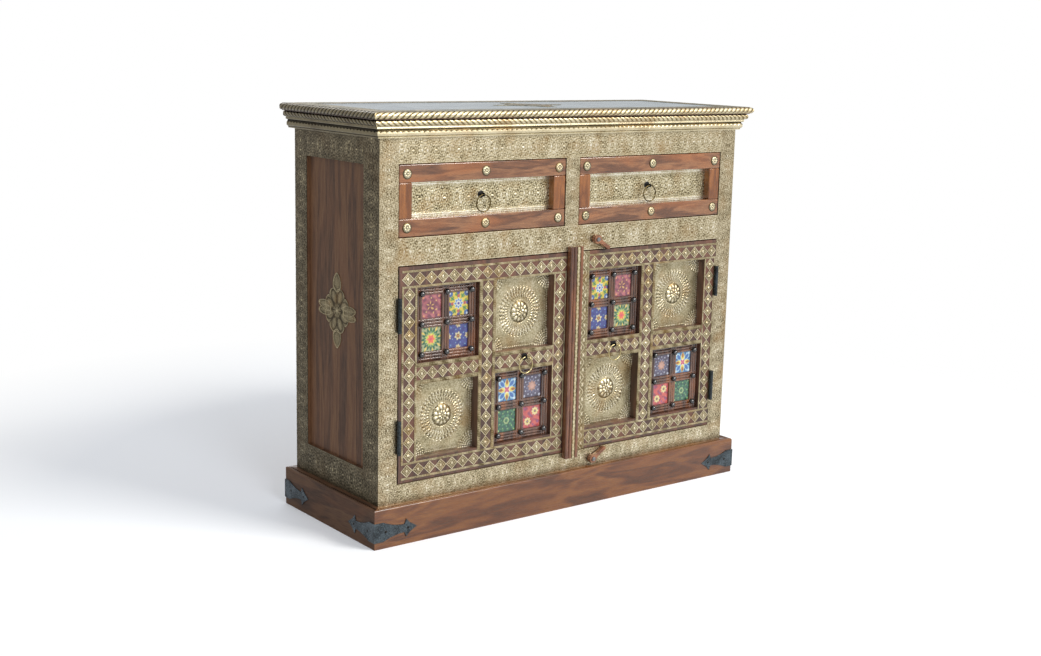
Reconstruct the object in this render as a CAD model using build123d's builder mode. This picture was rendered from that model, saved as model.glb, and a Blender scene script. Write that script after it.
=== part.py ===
"""Brass-clad sideboard: two drawers over two doors, on a strapped plinth.

Millimetres. X runs along the front, -Y is the front, +Z is up. The origin is on the
floor, under the middle of the whole piece.
"""

import os
from collections import namedtuple
from math import atan, atan2, cos, degrees, pi, radians, sin

from build123d import *

# ---------------------------------------------------------------- driving sizes

# carcass
BODY_W = 1100.0  # over the brass-clad sides
BODY_D = 381.0  # face to back
BODY_TOP = 934.0  # underside of the cornice
SKIN = 1.0  # embossed brass sheet
FACE_T = 24.0  # face rails and side rails
POST_W = 50.0  # posts, seen from the front
FRONT_POST_D = 67.0
BACK_POST_D = 56.0
SIDE_RAIL_TOP = 61.0
SIDE_RAIL_BOTTOM = 73.0
SIDE_PANEL_T = 12.0
SIDE_RECESS = 8.0
BACK_PANEL_T = 8.0
BACK_RAIL_H = 45.0
BACK_RAIL_T = 20.0
FLOOR_T = 18.0
SHELF_T = 18.0
SHELF_TOP_Z = 413.0
SHELF_SETBACK = 9.0  # behind the closed doors
BEARER = 18.0  # square section of cleats
RUNNER_W = 30.0
TOP_RAIL_H = 57.0
BOTTOM_RAIL_H = 43.5
DRAWER_OPENING_H = 166.0
MIDDLE_RAIL_H = 63.0
DIVIDER_W = 42.0

# plinth and its iron straps
PLINTH_H = 94.0
PLINTH_OUT = 24.0  # proud of the body at the front and sides
PLINTH_T = 40.0
PLINTH_ROUND = 6.0
BACK_OUT = 16.0  # plinth and top stand behind the body
STRAP_T = 2.0
STRAP_Z = 40.0
STRAP_LEG = 114.0  # corner to tip
STRAP_ROOT_H = 46.0
STRAP_ROOT_L = 23.0  # full height this far from the corner
STRAP_WAIST_H = 25.0
STRAP_WAIST_AT = 54.0
STRAP_NECK_H = 19.0
STRAP_NECK_AT = 80.0
STRAP_BARB_H = 43.0
STRAP_BARB_AT = 85.0  # the barbs' rear corners
STRAP_SHOULDER_H = 24.0
STRAP_SHOULDER_AT = 94.0  # where the point begins

# cornice and top
CORNICE_STEPS = [(9.0, 5.0), (13.0, 15.0), (16.0, 7.0)]  # (proud of the body, height)
ROPE_R = 7.5  # lower rope bead
ROPE_PLANE = 16.0
NOSE_R = 8.0  # rope bead round the top's edge
NOSE_PLANE = 25.0
CORNICE_T = 26.0
MITRE_GAP = 0.2
TOP_T = 17.0
TOP_BRASS_T = 1.0
TOP_BORDER_W = 58.0
TOP_MOTIF_R = 62.0
SIDE_MOTIF_R = 56.0
MOTIF_T = 1.5
# the brass flower's parts, as shares of its own radius
LEAF_TIP = 1.74
LEAF_SHOULDER = 1.2
LEAF_SHOULDER_W = 0.26
LEAF_BELLY = 0.85
LEAF_BELLY_W = 0.36
LOBE_AT = 0.86
LOBE_R = 0.42
DISC = 0.62

# drawers
DRAWER_GAP = 1.5
DRAWER_FRONT_T = 28.0
DRAWER_RAIL_H = 41.0
DRAWER_STILE_W = 35.0
DRAWER_RECESS = 20.0
DRAWER_SIDE_T = 12.0
DRAWER_SIDE_INSET = 1.0
DRAWER_BACK_GAP = 23.0  # ahead of the back panel, when shut
DRAWER_BOX_H = 152.0
DRAWER_BOTTOM_T = 7.0
DRAWER_BOTTOM_UP = 9.0
RUNNER_GAP = 0.3
STUD_R = 10.5
STUD_H = 4.5
STUD_IN = 21.0  # from the drawer's edges
STUD_PETALS = 8
STUD_TIERS = 2

# doors
DOOR_GAP = 2.5
DOOR_PROUD = 1.0
DOOR_T = 34.0
LEFT_OUTER_STILE = 48.5
LEFT_INNER_STILE = 37.5
RIGHT_OUTER_STILE = 38.5
RIGHT_INNER_STILE = 70.0
MULLION_W = 49.0
DOOR_TOP_RAIL = 49.5
DOOR_MID_RAIL = 49.5
DOOR_BOTTOM_RAIL = 52.5
PANEL_RECESS = 25.0
PANEL_SHEET_T = 2.0
BOSS_R = 27.0
BOSS_H = 9.0
BOSS_RING_H = 4.0  # the petals' height; the crown is the rest
BOSS_CROWN_R = 16.2
BOSS_PETALS = 10
PETAL_NOTCH = 5.5  # how far the boss's edge dips between petals
BAND_T = 1.2
BAND_W = 41.0
DIAMOND_W = 31.0
DIAMOND_PITCH = 31.5
DIAMOND_GAP = 0.3  # from a diamond's side tips to the edge strips
TIP_LAP = 0.5  # neighbouring diamonds cross at their tips by this

# astragal on the right door
ASTRAGAL_X = -10.0  # its left edge
ASTRAGAL_W = 40.0
ASTRAGAL_T = 16.0
ASTRAGAL_PAST = 15.0  # beyond the door at each end

# reeded tile lattices
BAR_W = 22.0
REEDS = 3
LATTICE_RECESS = 10.0
TILE_BACK = 21.0  # back of the tiles, behind the door's face
TILE_T = 6.0
BEAD_R = 7.2
BEAD_LIFT = 3.5  # bead centre above the reeds
BEAD_IN = 17.5  # outer beads, from the panel's edges
BEAD_SIDES = 6
BEAD_TIERS = 2

# hinges
HINGE_L = 80.0
HINGE_R = 5.0
KNUCKLE_SIDES = 8  # forged flats round the knuckles
HINGE_OUT = 6.2  # pin ahead of the door's face
PIN_R = 2.0
LEAF_T = 1.1
LEAF_D = 25.0
KNUCKLE_GAP = 0.3
HINGE_END_UP = 110.0  # hinge centres, from the door's bottom edge and top edge
RUNNING = 0.06

# ring pulls
RING_R = 20.0  # to the middle of the wire
WIRE_R = 1.75
EYE_R = 5.0
EYE_T = 2.4
EYE_RUNNING = 0.1
EYE_PLATE_R = 9.0
EYE_PLATE_T = 1.5
EYE_SIDES = 8  # forged flats on the eye and its plate
EYE_ABOVE_WINDOW = 4.0  # drawer eyes, above the middle of the window
EYE_ABOVE_RAIL = 6.5  # door eyes, above the middle of the mid rail
DRAWER_EYE_OUT = 12.0
DOOR_EYE_OUT = 7.0
RING_BALL_R = 4.0
RING_BALL_AT = 40.0  # degrees round from the top
RING_SIDES = 16  # a hand-bent ring, as short straight runs
WIRE_SIDES = 6
BALL_SIDES = 8
BALL_TIERS = 2  # above and below its middle

# turn latches
LATCH_X = (76.0, 84.0)  # upper, lower
LATCH_OFF = 29.0  # pivots, from the door's edge
LATCH_ANGLE = 32.0
LATCH_L = 42.0
LATCH_HUB_R = 11.0
LATCH_TIP_R = 4.5
LATCH_T = 11.0
LATCH_LIFT = 0.6  # clear of the door's brass
LATCH_WAIST_AT = 19.0  # along the arm
LATCH_WAIST_R = 4.0
LATCH_ROOT_R = 8.8  # half the arm's width at the hub
LATCH_GAP = 0.3  # to the face behind it and to the screw's head
LATCH_BOSS_R = 8.0
LATCH_SIDES = 12  # whittled flats round the hub
LATCH_TIP_SIDES = 8
LATCH_BOSS_SIDES = 8
SCREW_R = 2.5
SCREW_HEAD_R = 5.5
SCREW_HEAD_SIDES = 8
SCREW_HEAD_T = 2.5
SCREW_IN = 18.0

# ---------------------------------------------------------------- worked-out places

HALF_W = BODY_W / 2
FACE_Y = NOSE_PLANE + NOSE_R - (NOSE_PLANE + NOSE_R + BODY_D + BACK_OUT) / 2
BACK_Y = FACE_Y + BODY_D
REAR_Y = BACK_Y + BACK_OUT
PLINTH_REAR_Y = REAR_Y - STRAP_T  # so that the rear straps end level with the top
WOOD_X = HALF_W - SKIN  # outside of the wood under the side sheets
WOOD_Y = FACE_Y + SKIN  # front of the wood under the front sheet
OPEN_X = HALF_W - POST_W  # half of the face opening
FRONT_POST_Y = FACE_Y + FRONT_POST_D
BACK_POST_Y = BACK_Y - BACK_POST_D
RAIL_BACK_Y = WOOD_Y + FACE_T
DRAWER_TOP_Z = BODY_TOP - TOP_RAIL_H
DRAWER_BOTTOM_Z = DRAWER_TOP_Z - DRAWER_OPENING_H
DOORS_TOP_Z = DRAWER_BOTTOM_Z - MIDDLE_RAIL_H
DOORS_BOTTOM_Z = PLINTH_H + BOTTOM_RAIL_H
BACK_PANEL_Y = BACK_Y - BACK_RAIL_T
DRAWER_BOX_D = BACK_PANEL_Y - DRAWER_BACK_GAP - FACE_Y - DRAWER_FRONT_T
CORNICE_H = sum(height for _, height in CORNICE_STEPS) + 2 * ROPE_R
TOP_Z = BODY_TOP + CORNICE_H
TOP_SURFACE = TOP_Z + TOP_T
DOOR_Y = FACE_Y - DOOR_PROUD
DOOR_BACK_Y = DOOR_Y + DOOR_T
BAND_Y = DOOR_Y - BAND_T
PIN_X = OPEN_X - DOOR_GAP / 2
PIN_Y = DOOR_Y - HINGE_OUT

Door = namedtuple("Door", "name hand z_low z_high columns rows")


def spread(start, *widths):
    """The running edges of members laid side by side from start."""
    edges = [start]
    for width in widths:
        edges.append(edges[-1] + width)
    return edges


def lay_out_door(name, hand, x_low, x_high, first, last):
    """The lines of a door: stiles, panels and mullion across, rails and panels up."""
    z_low = DOORS_BOTTOM_Z + DOOR_GAP
    z_high = DOORS_TOP_Z - DOOR_GAP
    panel_w = (x_high - x_low - first - last - MULLION_W) / 2
    rails = DOOR_TOP_RAIL + DOOR_MID_RAIL + DOOR_BOTTOM_RAIL
    panel_h = (z_high - z_low - rails) / 2
    columns = spread(x_low, first, panel_w, MULLION_W, panel_w, last)
    rows = spread(z_low, DOOR_BOTTOM_RAIL, panel_h, DOOR_MID_RAIL, panel_h, DOOR_TOP_RAIL)
    return Door(name, hand, z_low, z_high, columns, rows)


DOORS = [
    lay_out_door(
        "left",
        -1,
        -OPEN_X + DOOR_GAP,
        ASTRAGAL_X - DOOR_GAP,
        LEFT_OUTER_STILE,
        LEFT_INNER_STILE,
    ),
    lay_out_door(
        "right",
        1,
        ASTRAGAL_X,
        OPEN_X - DOOR_GAP,
        RIGHT_INNER_STILE,
        RIGHT_OUTER_STILE,
    ),
]

# each door has two tile units and two embossed panels, set chequer-wise: (column, row)
TILE_CELLS = [(1, 3), (3, 1)]
BOSS_CELLS = [(3, 3), (1, 1)]


# ---------------------------------------------------------------- shared makers


def board(x0, x1, y0, y1, z0, z1):
    """A plain board between two corners."""
    with BuildPart() as piece:
        with Locations(((x0 + x1) / 2, (y0 + y1) / 2, (z0 + z1) / 2)):
            Box(x1 - x0, y1 - y0, z1 - z0)
    return piece.part


def separate(pieces):
    """Several pieces kept as solids of their own in one node."""
    return Compound([solid for piece in pieces for solid in piece.solids()])


def save(piece, label):
    """Label a finished piece and write it."""
    piece.label = label
    export_step(piece, f"parts/{label}.step")


def cell_box(door, cell):
    """A door panel's opening: low x, high x, low z, high z."""
    column, row = cell
    return (
        door.columns[column],
        door.columns[column + 1],
        door.rows[row],
        door.rows[row + 1],
    )


def front_plane(y):
    """A sketch plane parallel to the face: its x is X, its y is Z, and it looks forward."""
    return Plane(origin=(0, y, 0), x_dir=(1, 0, 0), z_dir=(0, -1, 0))


def run_along_wall(length, out, z, radius, near_mitre, far_mitre):
    """A half-round bead on a wall that faces -Y, from x = 0 to length, ends mitred or square.

    A mitred end follows the 45 degree line through the wall's corner. A square end
    runs on by BACK_OUT.
    """
    start = -out - radius if near_mitre else -BACK_OUT
    end = length + out + radius if far_mitre else length + BACK_OUT
    with BuildPart() as bead:
        with BuildSketch(Plane.YZ.offset(start)):
            with Locations((-out, z)):
                Circle(radius)
            with Locations((-out + radius, z)):
                Rectangle(2 * radius, 2 * radius, mode=Mode.SUBTRACT)
        extrude(amount=end - start)
        reach = out + 2 * radius
        with BuildSketch(Plane.XY.offset(z - radius)):
            if near_mitre:
                Polygon(
                    (MITRE_GAP, 0), (-reach + MITRE_GAP, -reach), (-2 * reach, -reach),
                    (-2 * reach, 0), align=None,
                )
            if far_mitre:
                Polygon(
                    (length - MITRE_GAP, 0), (length + reach - MITRE_GAP, -reach),
                    (length + 2 * reach, -reach), (length + 2 * reach, 0), align=None,
                )
        if near_mitre or far_mitre:
            extrude(amount=2 * radius, mode=Mode.SUBTRACT)
    return bead.part


def rope_beads(out, z, radius):
    """The bead along the front and both sides of the body."""
    front = run_along_wall(BODY_W, out, z, radius, True, True)
    left = run_along_wall(BODY_D, out, z, radius, False, True)
    right = run_along_wall(BODY_D, out, z, radius, True, False)
    with BuildPart() as beads:
        with Locations((-HALF_W, FACE_Y, 0)):
            add(front)
        with Locations(Location((-HALF_W, BACK_Y, 0), (0, 0, -90))):
            add(left)
        with Locations(Location((HALF_W, FACE_Y, 0), (0, 0, 90))):
            add(right)
    return beads.part


def faceted_dome(radius, height, sides, tiers):
    """A dome of flat facets on the XY plane, under the sphere through its rim and crown.

    Tier k ends where the sphere's angle from the crown is (tiers - k) of tiers + 1 shares
    of the rim's, so the crown is a small flat.
    """
    ball = (radius**2 + height**2) / (2 * height)
    rim = atan2(radius, ball - height)
    angles = [rim * (tiers + 1 - k) / (tiers + 1) for k in range(tiers + 1)]
    rings = [(ball * sin(angle), ball * cos(angle) - (ball - height)) for angle in angles]
    with BuildPart() as cap:
        for (wide, low), (narrow, high) in zip(rings, rings[1:]):
            lean = degrees(atan((wide - narrow) * cos(pi / sides) / (high - low)))
            with BuildSketch(Plane.XY.offset(low)):
                RegularPolygon(wide, sides)
            extrude(amount=high - low, taper=lean)
    return cap.part


def flower_outline(radius):
    """Draw a brass flower: four pointed leaves on the axes, four lobes between, a disc."""
    with PolarLocations(0, 4):
        Polygon(
            (0, 0),
            (radius * LEAF_BELLY, radius * LEAF_BELLY_W),
            (radius * LEAF_SHOULDER, radius * LEAF_SHOULDER_W),
            (radius * LEAF_TIP, 0),
            (radius * LEAF_SHOULDER, -radius * LEAF_SHOULDER_W),
            (radius * LEAF_BELLY, -radius * LEAF_BELLY_W),
            align=None,
        )
    with PolarLocations(radius * LOBE_AT, 4, start_angle=45):
        RegularPolygon(radius * LOBE_R, 8)
    RegularPolygon(radius * DISC, 12)


# ---------------------------------------------------------------- plinth


def make_plinth():
    """Four mitred boards with a rounded top edge at the front and sides."""
    x_out = HALF_W + PLINTH_OUT
    y_front = FACE_Y - PLINTH_OUT
    y_rear = PLINTH_REAR_Y
    corners_out = [(-x_out, y_front), (x_out, y_front), (x_out, y_rear), (-x_out, y_rear)]
    x_in = x_out - PLINTH_T
    corners_in = [
        (-x_in, y_front + PLINTH_T),
        (x_in, y_front + PLINTH_T),
        (x_in, y_rear - PLINTH_T),
        (-x_in, y_rear - PLINTH_T),
    ]
    boards = []
    for k in range(4):
        after = (k + 1) % 4
        with BuildPart() as side:
            with BuildSketch():
                Polygon(
                    corners_out[k], corners_out[after], corners_in[after], corners_in[k],
                    align=None,
                )
            extrude(amount=PLINTH_H)
            if k != 2:
                top_edges = side.edges().group_by(Axis.Z)[-1]
                fillet(top_edges.sort_by(Edge.length)[-1], radius=PLINTH_ROUND)
        boards.append(side.part)
    save(boards[0], "plinth_front")
    save(separate([boards[1], boards[3]]), "plinth_sides")
    save(boards[2], "plinth_back")


def strap_outline():
    """Draw one leg in the current sketch, from the corner at x = 0 to its barbed tip."""
    root = STRAP_ROOT_H / 2
    waist = STRAP_WAIST_H / 2
    neck = STRAP_NECK_H / 2
    barb = STRAP_BARB_H / 2
    shoulder = STRAP_SHOULDER_H / 2
    with BuildLine() as outline:
        Polyline((0, -root), (0, root), (STRAP_ROOT_L, root))
        ThreePointArc((STRAP_ROOT_L, root), (STRAP_WAIST_AT, waist), (STRAP_NECK_AT, neck))
        Polyline(
            (STRAP_NECK_AT, neck), (STRAP_BARB_AT, barb), (STRAP_SHOULDER_AT, shoulder),
            (STRAP_LEG, 0), (STRAP_SHOULDER_AT, -shoulder), (STRAP_BARB_AT, -barb),
            (STRAP_NECK_AT, -neck),
        )
        ThreePointArc((STRAP_NECK_AT, -neck), (STRAP_WAIST_AT, -waist), (STRAP_ROOT_L, -root))
        Line((STRAP_ROOT_L, -root), (0, -root))
    make_face(outline.edges())


def make_straps():
    """An angled iron strap round each corner of the plinth, its legs ending in barbs."""
    x_out = HALF_W + PLINTH_OUT
    y_front = FACE_Y - PLINTH_OUT
    middle = Plane.XZ.offset(-(y_front + PLINTH_REAR_Y) / 2)
    with BuildPart() as straps:
        front_leg = Plane(
            origin=(-x_out, y_front, STRAP_Z), x_dir=(1, 0, 0), z_dir=(0, -1, 0)
        )
        with BuildSketch(front_leg):
            strap_outline()
        extrude(amount=STRAP_T)
        side_leg = Plane(
            origin=(-x_out - STRAP_T, y_front, STRAP_Z), x_dir=(0, 1, 0), z_dir=(1, 0, 0)
        )
        with BuildSketch(side_leg):
            strap_outline()
        extrude(amount=STRAP_T)
        with Locations((-x_out - STRAP_T / 2, y_front - STRAP_T / 2, STRAP_Z)):
            Box(STRAP_T, STRAP_T, STRAP_ROOT_H)
        mirror(about=Plane.YZ)
        mirror(about=middle)
    save(straps.part, "corner_straps")


# ---------------------------------------------------------------- carcass


def make_posts():
    """The front posts, and the back posts with the rails between them."""
    front = [
        board(-WOOD_X, -OPEN_X, WOOD_Y, FRONT_POST_Y, PLINTH_H, BODY_TOP),
        board(OPEN_X, WOOD_X, WOOD_Y, FRONT_POST_Y, PLINTH_H, BODY_TOP),
    ]
    save(separate(front), "front_posts")
    back = [
        board(-WOOD_X, -OPEN_X, BACK_POST_Y, BACK_Y, PLINTH_H, BODY_TOP),
        board(OPEN_X, WOOD_X, BACK_POST_Y, BACK_Y, PLINTH_H, BODY_TOP),
    ]
    for z in (PLINTH_H, DRAWER_BOTTOM_Z - BACK_RAIL_H, BODY_TOP - BACK_RAIL_H):
        back.append(board(-OPEN_X, OPEN_X, BACK_PANEL_Y, BACK_Y, z, z + BACK_RAIL_H))
    save(separate(back), "back_frame")
    panel = board(
        -OPEN_X, OPEN_X, BACK_PANEL_Y - BACK_PANEL_T, BACK_PANEL_Y, PLINTH_H, BODY_TOP
    )
    save(panel, "back_panel")


def make_sides():
    """Side rails between the posts, and the sunk wooden panel inside them."""
    rails = []
    panels = []
    for hand in (-1, 1):
        x0, x1 = sorted((hand * WOOD_X, hand * (WOOD_X - FACE_T)))
        for z0, z1 in (
            (PLINTH_H, PLINTH_H + SIDE_RAIL_BOTTOM),
            (BODY_TOP - SIDE_RAIL_TOP, BODY_TOP),
        ):
            rails.append(board(x0, x1, FRONT_POST_Y, BACK_POST_Y, z0, z1))
        outside = HALF_W - SIDE_RECESS
        x0, x1 = sorted((hand * outside, hand * (outside - SIDE_PANEL_T)))
        panels.append(
            board(
                x0, x1, FRONT_POST_Y, BACK_POST_Y,
                PLINTH_H + SIDE_RAIL_BOTTOM, BODY_TOP - SIDE_RAIL_TOP,
            )
        )
    save(separate(rails), "side_rails")
    save(separate(panels), "side_panels")


def make_face_frame():
    """Top, middle and bottom face rails, and the divider between the drawers."""
    heights = {
        "face_rail_top": (DRAWER_TOP_Z, BODY_TOP, None),
        "face_rail_middle": (DOORS_TOP_Z, DRAWER_BOTTOM_Z, (LATCH_X[0], upper_pivot_z())),
        "face_rail_bottom": (PLINTH_H, DOORS_BOTTOM_Z, (LATCH_X[1], lower_pivot_z())),
    }
    for label, (z0, z1, screw) in heights.items():
        with BuildPart() as rail:
            with Locations((0, (WOOD_Y + RAIL_BACK_Y) / 2, (z0 + z1) / 2)):
                Box(2 * OPEN_X, FACE_T, z1 - z0)
            if screw:
                with BuildSketch(front_plane(WOOD_Y)):
                    with Locations(screw):
                        Circle(SCREW_R)
                extrude(amount=-SCREW_IN, mode=Mode.SUBTRACT)
        save(rail.part, label)
    divider = board(
        -DIVIDER_W / 2, DIVIDER_W / 2, WOOD_Y, BACK_PANEL_Y - BACK_PANEL_T,
        DRAWER_BOTTOM_Z, DRAWER_TOP_Z,
    )
    save(divider, "drawer_divider")


def make_inside():
    """Floor, shelf, and the bearers that carry the shelf and the drawers."""
    back = BACK_PANEL_Y - BACK_PANEL_T
    inner_x = WOOD_X - FACE_T
    with BuildPart() as floor_board:
        with BuildSketch(Plane.XY.offset(DOORS_BOTTOM_Z - FLOOR_T)):
            with Locations((0, (RAIL_BACK_Y + back) / 2)):
                Rectangle(2 * OPEN_X, back - RAIL_BACK_Y)
            with Locations((0, (FRONT_POST_Y + BACK_POST_Y) / 2)):
                Rectangle(2 * inner_x, BACK_POST_Y - FRONT_POST_Y)
        extrude(amount=FLOOR_T)
    save(floor_board.part, "floor_board")

    shelf_front = DOOR_BACK_Y + SHELF_SETBACK
    shelf = board(-OPEN_X, OPEN_X, shelf_front, back, SHELF_TOP_Z - SHELF_T, SHELF_TOP_Z)
    save(shelf, "shelf_board")

    bearers = []
    for hand in (-1, 1):
        x0, x1 = sorted((hand * OPEN_X, hand * (OPEN_X - BEARER)))
        cleat_top = SHELF_TOP_Z - SHELF_T
        bearers.append(board(x0, x1, shelf_front, back, cleat_top - BEARER, cleat_top))
        x0, x1 = sorted((hand * OPEN_X, hand * (OPEN_X - RUNNER_W)))
        bearers.append(
            board(x0, x1, RAIL_BACK_Y, back, DRAWER_BOTTOM_Z - BEARER, DRAWER_BOTTOM_Z)
        )
    middle = DIVIDER_W / 2 + RUNNER_W
    bearers.append(
        board(
            -middle, middle, RAIL_BACK_Y, back, DRAWER_BOTTOM_Z - BEARER, DRAWER_BOTTOM_Z
        )
    )
    save(separate(bearers), "bearers")


def make_brass_sheets():
    """The embossed sheets over the face frame and the side frames."""
    with BuildPart() as front_brass:
        with BuildSketch(front_plane(WOOD_Y)):
            with Locations((0, (PLINTH_H + BODY_TOP) / 2)):
                Rectangle(BODY_W, BODY_TOP - PLINTH_H)
            with Locations((0, (DOORS_BOTTOM_Z + DOORS_TOP_Z) / 2)):
                Rectangle(2 * OPEN_X, DOORS_TOP_Z - DOORS_BOTTOM_Z, mode=Mode.SUBTRACT)
            opening_w = OPEN_X - DIVIDER_W / 2
            drawer_mid = (DRAWER_BOTTOM_Z + DRAWER_TOP_Z) / 2
            for hand in (-1, 1):
                with Locations((hand * (OPEN_X + DIVIDER_W / 2) / 2, drawer_mid)):
                    Rectangle(opening_w, DRAWER_OPENING_H, mode=Mode.SUBTRACT)
            with Locations((LATCH_X[0], upper_pivot_z()), (LATCH_X[1], lower_pivot_z())):
                Circle(SCREW_R, mode=Mode.SUBTRACT)
        extrude(amount=SKIN)
    save(front_brass.part, "front_brass")

    side_sheets = []
    for hand in (-1, 1):
        with BuildPart() as sheet:
            wall = Plane(origin=(hand * WOOD_X, 0, 0), x_dir=(0, 1, 0), z_dir=(1, 0, 0))
            with BuildSketch(wall):
                with Locations(((WOOD_Y + BACK_Y) / 2, (PLINTH_H + BODY_TOP) / 2)):
                    Rectangle(BACK_Y - WOOD_Y, BODY_TOP - PLINTH_H)
                low = PLINTH_H + SIDE_RAIL_BOTTOM
                high = BODY_TOP - SIDE_RAIL_TOP
                with Locations(((FRONT_POST_Y + BACK_POST_Y) / 2, (low + high) / 2)):
                    Rectangle(BACK_POST_Y - FRONT_POST_Y, high - low, mode=Mode.SUBTRACT)
            extrude(amount=hand * SKIN)
        side_sheets.append(sheet.part)
    save(separate(side_sheets), "side_brass")


def make_side_motifs():
    """The cut brass flower in the middle of each side panel."""
    motifs = []
    middle_y = (FRONT_POST_Y + BACK_POST_Y) / 2
    middle_z = (PLINTH_H + SIDE_RAIL_BOTTOM + BODY_TOP - SIDE_RAIL_TOP) / 2
    for hand in (-1, 1):
        outside = hand * (HALF_W - SIDE_RECESS)
        with BuildPart() as motif:
            wall = Plane(
                origin=(outside, middle_y, middle_z), x_dir=(0, 1, 0), z_dir=(1, 0, 0)
            )
            with BuildSketch(wall):
                flower_outline(SIDE_MOTIF_R)
            extrude(amount=hand * MOTIF_T)
        motifs.append(motif.part)
    save(separate(motifs), "side_motifs")


# ---------------------------------------------------------------- cornice and top


def make_cornice():
    """The stepped moulding under the top: mitred front and side runs, and a plain back."""
    runs = []
    for hand in (-1, 0, 1):
        with BuildPart() as run:
            z = BODY_TOP
            for out, height in CORNICE_STEPS + [(ROPE_PLANE, 2 * ROPE_R)]:
                inner = CORNICE_T
                with BuildSketch(Plane.XY.offset(z)):
                    if hand == 0:
                        Polygon(
                            (-HALF_W - out, FACE_Y - out), (HALF_W + out, FACE_Y - out),
                            (HALF_W - inner, FACE_Y + inner), (-HALF_W + inner, FACE_Y + inner),
                            align=None,
                        )
                    else:
                        Polygon(
                            (hand * (HALF_W + out), FACE_Y - out),
                            (hand * (HALF_W - inner), FACE_Y + inner),
                            (hand * (HALF_W - inner), REAR_Y),
                            (hand * (HALF_W + out), REAR_Y),
                            align=None,
                        )
                extrude(amount=height)
                z += height
        runs.append(run.part)
    inside = HALF_W - CORNICE_T
    runs.append(board(-inside, inside, REAR_Y - CORNICE_T, REAR_Y, BODY_TOP, TOP_Z))
    save(separate(runs), "cornice_moulding")
    save(rope_beads(ROPE_PLANE, TOP_Z - ROPE_R, ROPE_R), "rope_bead_lower")
    save(rope_beads(NOSE_PLANE, TOP_SURFACE - NOSE_R, NOSE_R), "rope_bead_upper")


def make_top():
    """The wooden top, its brass border and the brass flower in the middle."""
    edge_x = HALF_W + NOSE_PLANE
    edge_y = FACE_Y - NOSE_PLANE
    save(board(-edge_x, edge_x, edge_y, REAR_Y, TOP_Z, TOP_SURFACE), "top_board")
    with BuildPart() as top_brass:
        with BuildSketch(Plane.XY.offset(TOP_SURFACE)):
            with Locations((0, (edge_y + REAR_Y) / 2)):
                Rectangle(2 * edge_x, REAR_Y - edge_y)
                Rectangle(
                    2 * (edge_x - TOP_BORDER_W), REAR_Y - edge_y - 2 * TOP_BORDER_W,
                    mode=Mode.SUBTRACT,
                )
                flower_outline(TOP_MOTIF_R)
        extrude(amount=TOP_BRASS_T)
    save(top_brass.part, "top_brass")


# ---------------------------------------------------------------- drawers


def drawer_span(hand):
    """Low and high x of a drawer's front."""
    inner = DIVIDER_W / 2 + DRAWER_GAP
    outer = OPEN_X - DRAWER_GAP
    return sorted((hand * inner, hand * outer))


def drawer_eye_place(hand):
    """The eye's hole: x, y, z."""
    x0, x1 = drawer_span(hand)
    window_mid = (DRAWER_BOTTOM_Z + DRAWER_TOP_Z) / 2
    y = FACE_Y + DRAWER_RECESS - DRAWER_EYE_OUT
    return ((x0 + x1) / 2, y, window_mid + EYE_ABOVE_WINDOW)


def make_drawer(name, hand):
    """Front frame, embossed panel, box, rosette studs, staple and ring of one drawer."""
    x0, x1 = drawer_span(hand)
    z0 = DRAWER_BOTTOM_Z + DRAWER_GAP
    z1 = DRAWER_TOP_Z - DRAWER_GAP
    y1 = FACE_Y + DRAWER_FRONT_T
    wx0, wx1 = x0 + DRAWER_STILE_W, x1 - DRAWER_STILE_W
    wz0, wz1 = z0 + DRAWER_RAIL_H, z1 - DRAWER_RAIL_H
    frame = [
        board(x0, x1, FACE_Y, y1, z0, wz0),
        board(x0, x1, FACE_Y, y1, wz1, z1),
        board(x0, wx0, FACE_Y, y1, wz0, wz1),
        board(wx1, x1, FACE_Y, y1, wz0, wz1),
    ]
    save(separate(frame), f"drawer_frame_{name}")
    panel = board(wx0, wx1, FACE_Y + DRAWER_RECESS, y1, wz0, wz1)
    save(panel, f"drawer_panel_{name}")

    bx0, bx1 = x0 + DRAWER_SIDE_INSET, x1 - DRAWER_SIDE_INSET
    bz0 = DRAWER_BOTTOM_Z + RUNNER_GAP
    bz1 = bz0 + DRAWER_BOX_H
    by1 = y1 + DRAWER_BOX_D
    t = DRAWER_SIDE_T
    floor = bz0 + DRAWER_BOTTOM_UP
    box = [
        board(bx0, bx0 + t, y1, by1, bz0, bz1),
        board(bx1 - t, bx1, y1, by1, bz0, bz1),
        board(bx0 + t, bx1 - t, by1 - t, by1, bz0, bz1),
        board(bx0 + t, bx1 - t, y1, by1 - t, floor, floor + DRAWER_BOTTOM_T),
    ]
    save(separate(box), f"drawer_box_{name}")

    stud = faceted_dome(STUD_R, STUD_H, STUD_PETALS, STUD_TIERS)
    with BuildPart() as studs:
        xs = (x0 + STUD_IN, (x0 + x1) / 2, x1 - STUD_IN)
        zs = (z0 + STUD_IN, z1 - STUD_IN)
        with Locations(*[Location((x, FACE_Y, z), (90, 0, 0)) for x in xs for z in zs]):
            add(stud)
    save(studs.part, f"drawer_studs_{name}")

    ex, ey, ez = drawer_eye_place(hand)
    save(make_eye(ex, ey, ez, FACE_Y + DRAWER_RECESS), f"drawer_staple_{name}")
    save(make_ring(ex, ey, ez, 0), f"drawer_ring_{name}")


# ---------------------------------------------------------------- eyes and rings


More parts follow.
